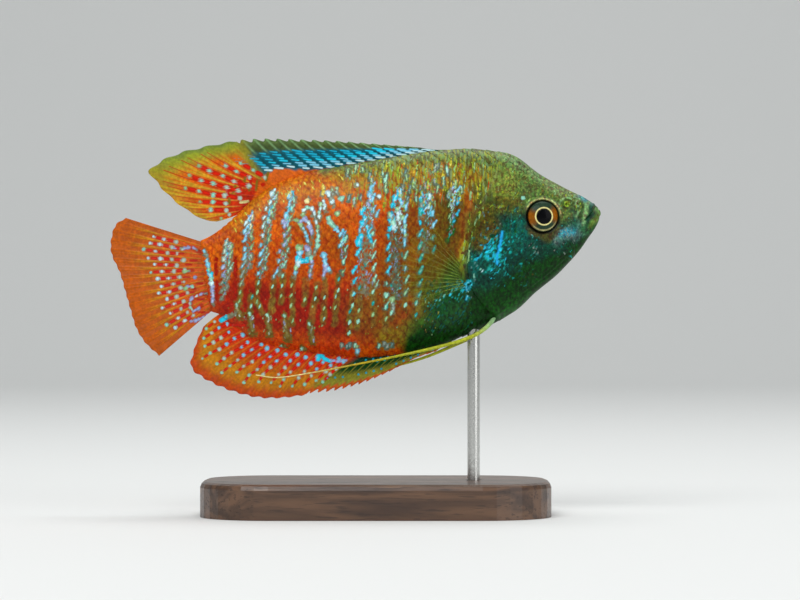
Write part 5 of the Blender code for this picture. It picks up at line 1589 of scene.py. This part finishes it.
def build_eye(side, name):
    """An eyeball seen from outside: pupil, pale ring, iris and dark rim on one domed surface."""
    rings, around = 60, 72
    r = np.linspace(0.01, 1, rings) ** 0.9 * EYE_RADIUS
    angle = np.linspace(0, 2 * math.pi, around, endpoint=False)
    dome = EYE_DEPTH_RADIUS * np.sqrt(np.maximum(0, 1 - (r / (EYE_RADIUS * 1.001)) ** 2))
    lens = 0.05 * (1 - smoothstep(0.95, 1.12, r)) - 0.05 * bump(r - 1.14, 0.07)
    lens -= 0.04 * smoothstep(1.2, 1.6, r)
    height = dome + lens
    rr, aa = np.meshgrid(r, angle, indexing="ij")
    local = np.stack([rr * np.cos(aa), np.broadcast_to((side * height)[:, None], rr.shape),
                      rr * np.sin(aa)], axis=-1)
    c, s = math.cos(-side * EYE_TURN), math.sin(-side * EYE_TURN)
    turn = np.array([(c, -s, 0), (s, c, 0), (0, 0, 1)])
    centre = np.array([EYE_X, side * (skin_y(EYE_X, EYE_Z) + EYE_BULGE - EYE_DEPTH_RADIUS), EYE_Z])
    points = (local @ turn.T + centre).reshape(-1, 3)
    rear = (np.array([0, -side * 0.5, 0]) @ turn.T + centre)[None]
    points = np.vstack([points, rear])
    quads = ring_quads(rings, around)
    last = (rings - 1) * around + np.arange(around)
    tail = np.stack([last, np.roll(last, -1), np.full(around, len(points) - 1)], axis=1)
    first = np.arange(around)[::-1][None, :]
    radius, upward = rr.ravel(), np.sin(aa).ravel()
    colour = base_colour("iris", len(radius))
    colour = blend(colour, "teal_dark", 0.92 * smoothstep(0.25, 0.8, np.abs(upward)))
    colour = blend(colour, "pale_yellow", 0.6 * bump(radius - 1.98, 0.1) * smoothstep(-0.3, -0.8, upward))
    grain = 0.75 + 0.5 * ripple(aa.ravel() * 7.0, radius * 2.0, 1.0, 9)
    colour = colour * grain[:, None]
    colour = blend(colour, "pale_yellow", 1 - smoothstep(1.28, 1.36, radius))
    colour = blend(colour, "black", 1 - smoothstep(1.10, 1.16, radius))
    colour = blend(colour, "black", 0.9 * smoothstep(2.08, 2.2, radius))
    colour = np.vstack([colour, [COLOURS["black"]]])
    eye = mesh_piece(name, place(points), [quads, tail, first], {"ground": colour})
    turn_out(eye)
    return eye


def eye_material():
    made, tree, shader = new_material("wet_eye")
    colour = attribute(tree, "ground").outputs["Color"]
    shade = map_range(tree, noise(tree, 3200.0, 3.0), 0.3, 0.7, 0.85, 1.15)
    tree.links.new(mix_colour(tree, 1.0, colour, shade, "MULTIPLY"), shader.inputs["Base Color"])
    shader.inputs["Roughness"].default_value = 0.3
    shader.inputs["Specular IOR Level"].default_value = 0.05
    shader.inputs["Coat Weight"].default_value = 0.12
    shader.inputs["Coat Roughness"].default_value = 0.02
    shader.inputs["Coat IOR"].default_value = 1.34
    return made


def wood_material():
    made, tree, shader = new_material("dark_hardwood")
    where = node(tree, "ShaderNodeTexCoord")
    stretch = node(tree, "ShaderNodeMapping")
    stretch.inputs["Scale"].default_value = (18.0, 220.0, 220.0)
    tree.links.new(where.outputs["Object"], stretch.inputs["Vector"])
    rings = node(tree, "ShaderNodeTexNoise")
    rings.inputs["Scale"].default_value = 1.6
    rings.inputs["Detail"].default_value = 6.0
    rings.inputs["Distortion"].default_value = 1.2
    tree.links.new(stretch.outputs["Vector"], rings.inputs["Vector"])
    pores = node(tree, "ShaderNodeTexNoise")
    pores.inputs["Scale"].default_value = 14.0
    pores.inputs["Detail"].default_value = 2.0
    tree.links.new(stretch.outputs["Vector"], pores.inputs["Vector"])
    grain = map_range(tree, rings.outputs["Fac"], 0.35, 0.65)
    colour = mix_colour(tree, grain, (0.055, 0.026, 0.014), (0.15, 0.075, 0.038))
    dark = map_range(tree, pores.outputs["Fac"], 0.56, 0.68)
    colour = mix_colour(tree, maths(tree, "MULTIPLY", dark, 0.6), colour, (0.025, 0.012, 0.008))
    tree.links.new(colour, shader.inputs["Base Color"])
    tree.links.new(map_range(tree, dark, 0.0, 1.0, 0.38, 0.55, False), shader.inputs["Roughness"])
    shader.inputs["Coat Weight"].default_value = 0.35
    shader.inputs["Coat Roughness"].default_value = 0.25
    lumps = node(tree, "ShaderNodeBump")
    lumps.inputs["Strength"].default_value = 0.25
    lumps.inputs["Distance"].default_value = 0.0001
    tree.links.new(pores.outputs["Fac"], lumps.inputs["Height"])
    tree.links.new(lumps.outputs["Normal"], shader.inputs["Normal"])
    return made


def steel_material():
    made, tree, shader = new_material("polished_rod")
    shader.inputs["Base Color"].default_value = (0.62, 0.62, 0.60, 1.0)
    shader.inputs["Metallic"].default_value = 1.0
    lines = noise(tree, 5200.0, 2.0)
    tree.links.new(map_range(tree, lines, 0.3, 0.7, 0.16, 0.30), shader.inputs["Roughness"])
    return made


def finish_piece(piece, material, slot, *replaced):
    """Gives a piece its material and its body, and hides the CAD nodes that it replaces; slot is not used."""
    piece.data.materials.append(material)
    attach(piece, "root")
    if replaced:
        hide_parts(*replaced)


def build_fish():
    wet = fish_material("wet_skin", roughness=0.45, coat=0.14, bump_height=0.00006, grain=900.0, skin=True)
    finish_piece(build_skin(), wet, "body_skin", "head", "lower_jaw", "gill_cover_left", "gill_cover_right",
                 "torso", "tail_stalk")
    scales = fish_material("scale_skin", roughness=0.45, coat=0.14, bump_height=0.00003, grain=2400.0,
                           skin=True, rim=True)
    body, head = body_cells(), head_cells()
    for side, word, salt in ((-1, "right", 1), (1, "left", 2)):
        for part, keep in (("rear", body[2] < COAT_SPLIT), ("front", body[2] >= COAT_SPLIT)):
            cells = [values[keep] for values in body]
            stretch = row_pitch(cells[2]) / USUAL_ROW
            coat = build_coat(f"scales_{part}_{word}", cells, side, salt, stretch, **BODY_SCALES)
            finish_piece(coat, scales, "body_skin")
        coat = build_coat("scales_head_" + word, head, side, salt, np.ones(len(head[2])), **HEAD_SCALES)
        finish_piece(coat, scales, "head_skin")
    fins = fish_material("fin_membrane", roughness=0.42, coat=0.14, bump_height=0.00002, grain=1800.0,
                         alpha=True)
    clear = fish_material("clear_membrane", roughness=0.35, coat=0.3, bump_height=0.00001, grain=1800.0,
                          alpha=True)
    dorsal = fin_piece("dorsal_fin_sheet", long_fin(**DORSAL), 12, 56, paint_dorsal)
    finish_piece(dorsal, fins, "dorsal_membrane", "fin_dorsal")
    anal = fin_piece("anal_fin_sheet", long_fin(**ANAL), 12, 56, paint_anal)
    finish_piece(anal, fins, "red_membrane", "fin_anal")
    roots = fine_ends((TAIL_BASE,), (TAIL_RAYS,))
    tips = fine_ends((TAIL_TIPS,), (TAIL_RAYS,))
    tail = Fin(sink_roots(roots, tips, 0.4), tips, 0, 0.0, (0.7, 1.0, 0.8), 0.0)
    tail.soft_notch = 0.010
    finish_piece(fin_piece("tail_fin_sheet", tail, 12, 56, paint_tail), fins, "red_membrane", "fin_tail")
    eyes = eye_material()
    for side, word in ((-1, "right"), (1, "left")):
        fan = fin_piece("pectoral_fin_sheet_" + word, PectoralFin(side), 8, 30, paint_pectoral, 0.05, 0.14)
        finish_piece(fan, clear, "clear_membrane", "fin_pectoral_" + word)
        finish_piece(build_eye(side, "eyeball_" + word), eyes, "eyes", "eye_" + word)
    threads = fish_material("feeler_skin", roughness=0.4, coat=0.3, bump_height=0.00001, grain=1800.0)
    for piece, word in zip(build_feelers(), ("right", "left")):
        finish_piece(piece, threads, "feelers", "feeler_" + word)


def dress_stand():
    for name, material in (("stand_base", wood_material()), ("stand_rod", steel_material())):
        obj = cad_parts[name]
        for slot in obj.material_slots:
            slot.material = material
        if not obj.material_slots:
            obj.data.materials.append(material)


def build_studio():
    """A pale floor that curves up behind, soft lights and the camera."""
    count = 40
    profile = [(-1.3, 0.0), (0.75, 0.0)]
    for k in range(1, count):
        angle = math.pi / 2 * k / count
        profile.append((0.75 + 0.5 * math.sin(angle), 0.5 * (1 - math.cos(angle))))
    profile.append((1.25, 1.8))
    points = [(x, y, z) for x in (-2.0, 2.0) for y, z in profile]
    size = len(profile)
    quads = np.array([(k, k + 1, size + k + 1, size + k) for k in range(size - 1)])
    floor = mesh_piece("studio_floor", points, [quads])
    made, tree, shader = new_material("studio_paper")
    shader.inputs["Base Color"].default_value = (0.76, 0.77, 0.76, 1.0)
    shader.inputs["Roughness"].default_value = 0.8
    floor.data.materials.append(made)
    for name, place_at, target, energy, size in (
            ("key", (-0.25, -0.55, 0.62), (0, 0, 0.035), 3.7, 0.45),
            ("fill", (0.55, -0.45, 0.25), (0, 0, 0.035), 1.5, 0.5),
            ("top", (0.05, 0.10, 0.6), (0, 0, 0.03), 1.5, 0.4),
            ("back", (0.1, 0.55, 1.3), (0, 1.1, 0.2), 5.0, 1.0)):
        lamp = bpy.data.lights.new(name, "AREA")
        lamp.energy, lamp.size = energy, size
        obj = bpy.data.objects.new(name, lamp)
        bpy.context.scene.collection.objects.link(obj)
        obj.location = place_at
        direction = Vector(np.array(target) - np.array(place_at))
        obj.rotation_euler = direction.to_track_quat("-Z", "Y").to_euler()
    world = bpy.data.worlds.new("studio_world")
    bpy.context.scene.world = world
    world.use_nodes = True
    world.node_tree.nodes["Background"].inputs["Color"].default_value = (0.86, 0.90, 0.92, 1.0)
    world.node_tree.nodes["Background"].inputs["Strength"].default_value = 0.26
    camera = bpy.data.objects.new("camera", bpy.data.cameras.new("camera"))
    bpy.context.scene.collection.objects.link(camera)
    camera.location = (0.00645, -0.5, 0.0308)
    camera.rotation_euler = (math.radians(90), 0, 0)
    camera.data.sensor_width = 36.0
    camera.data.lens = 156.9
    camera.data.clip_start = 0.01
    bpy.context.scene.camera = camera
    bpy.context.scene.view_settings.view_transform = "Standard"


build_fish()
dress_stand()
build_studio()
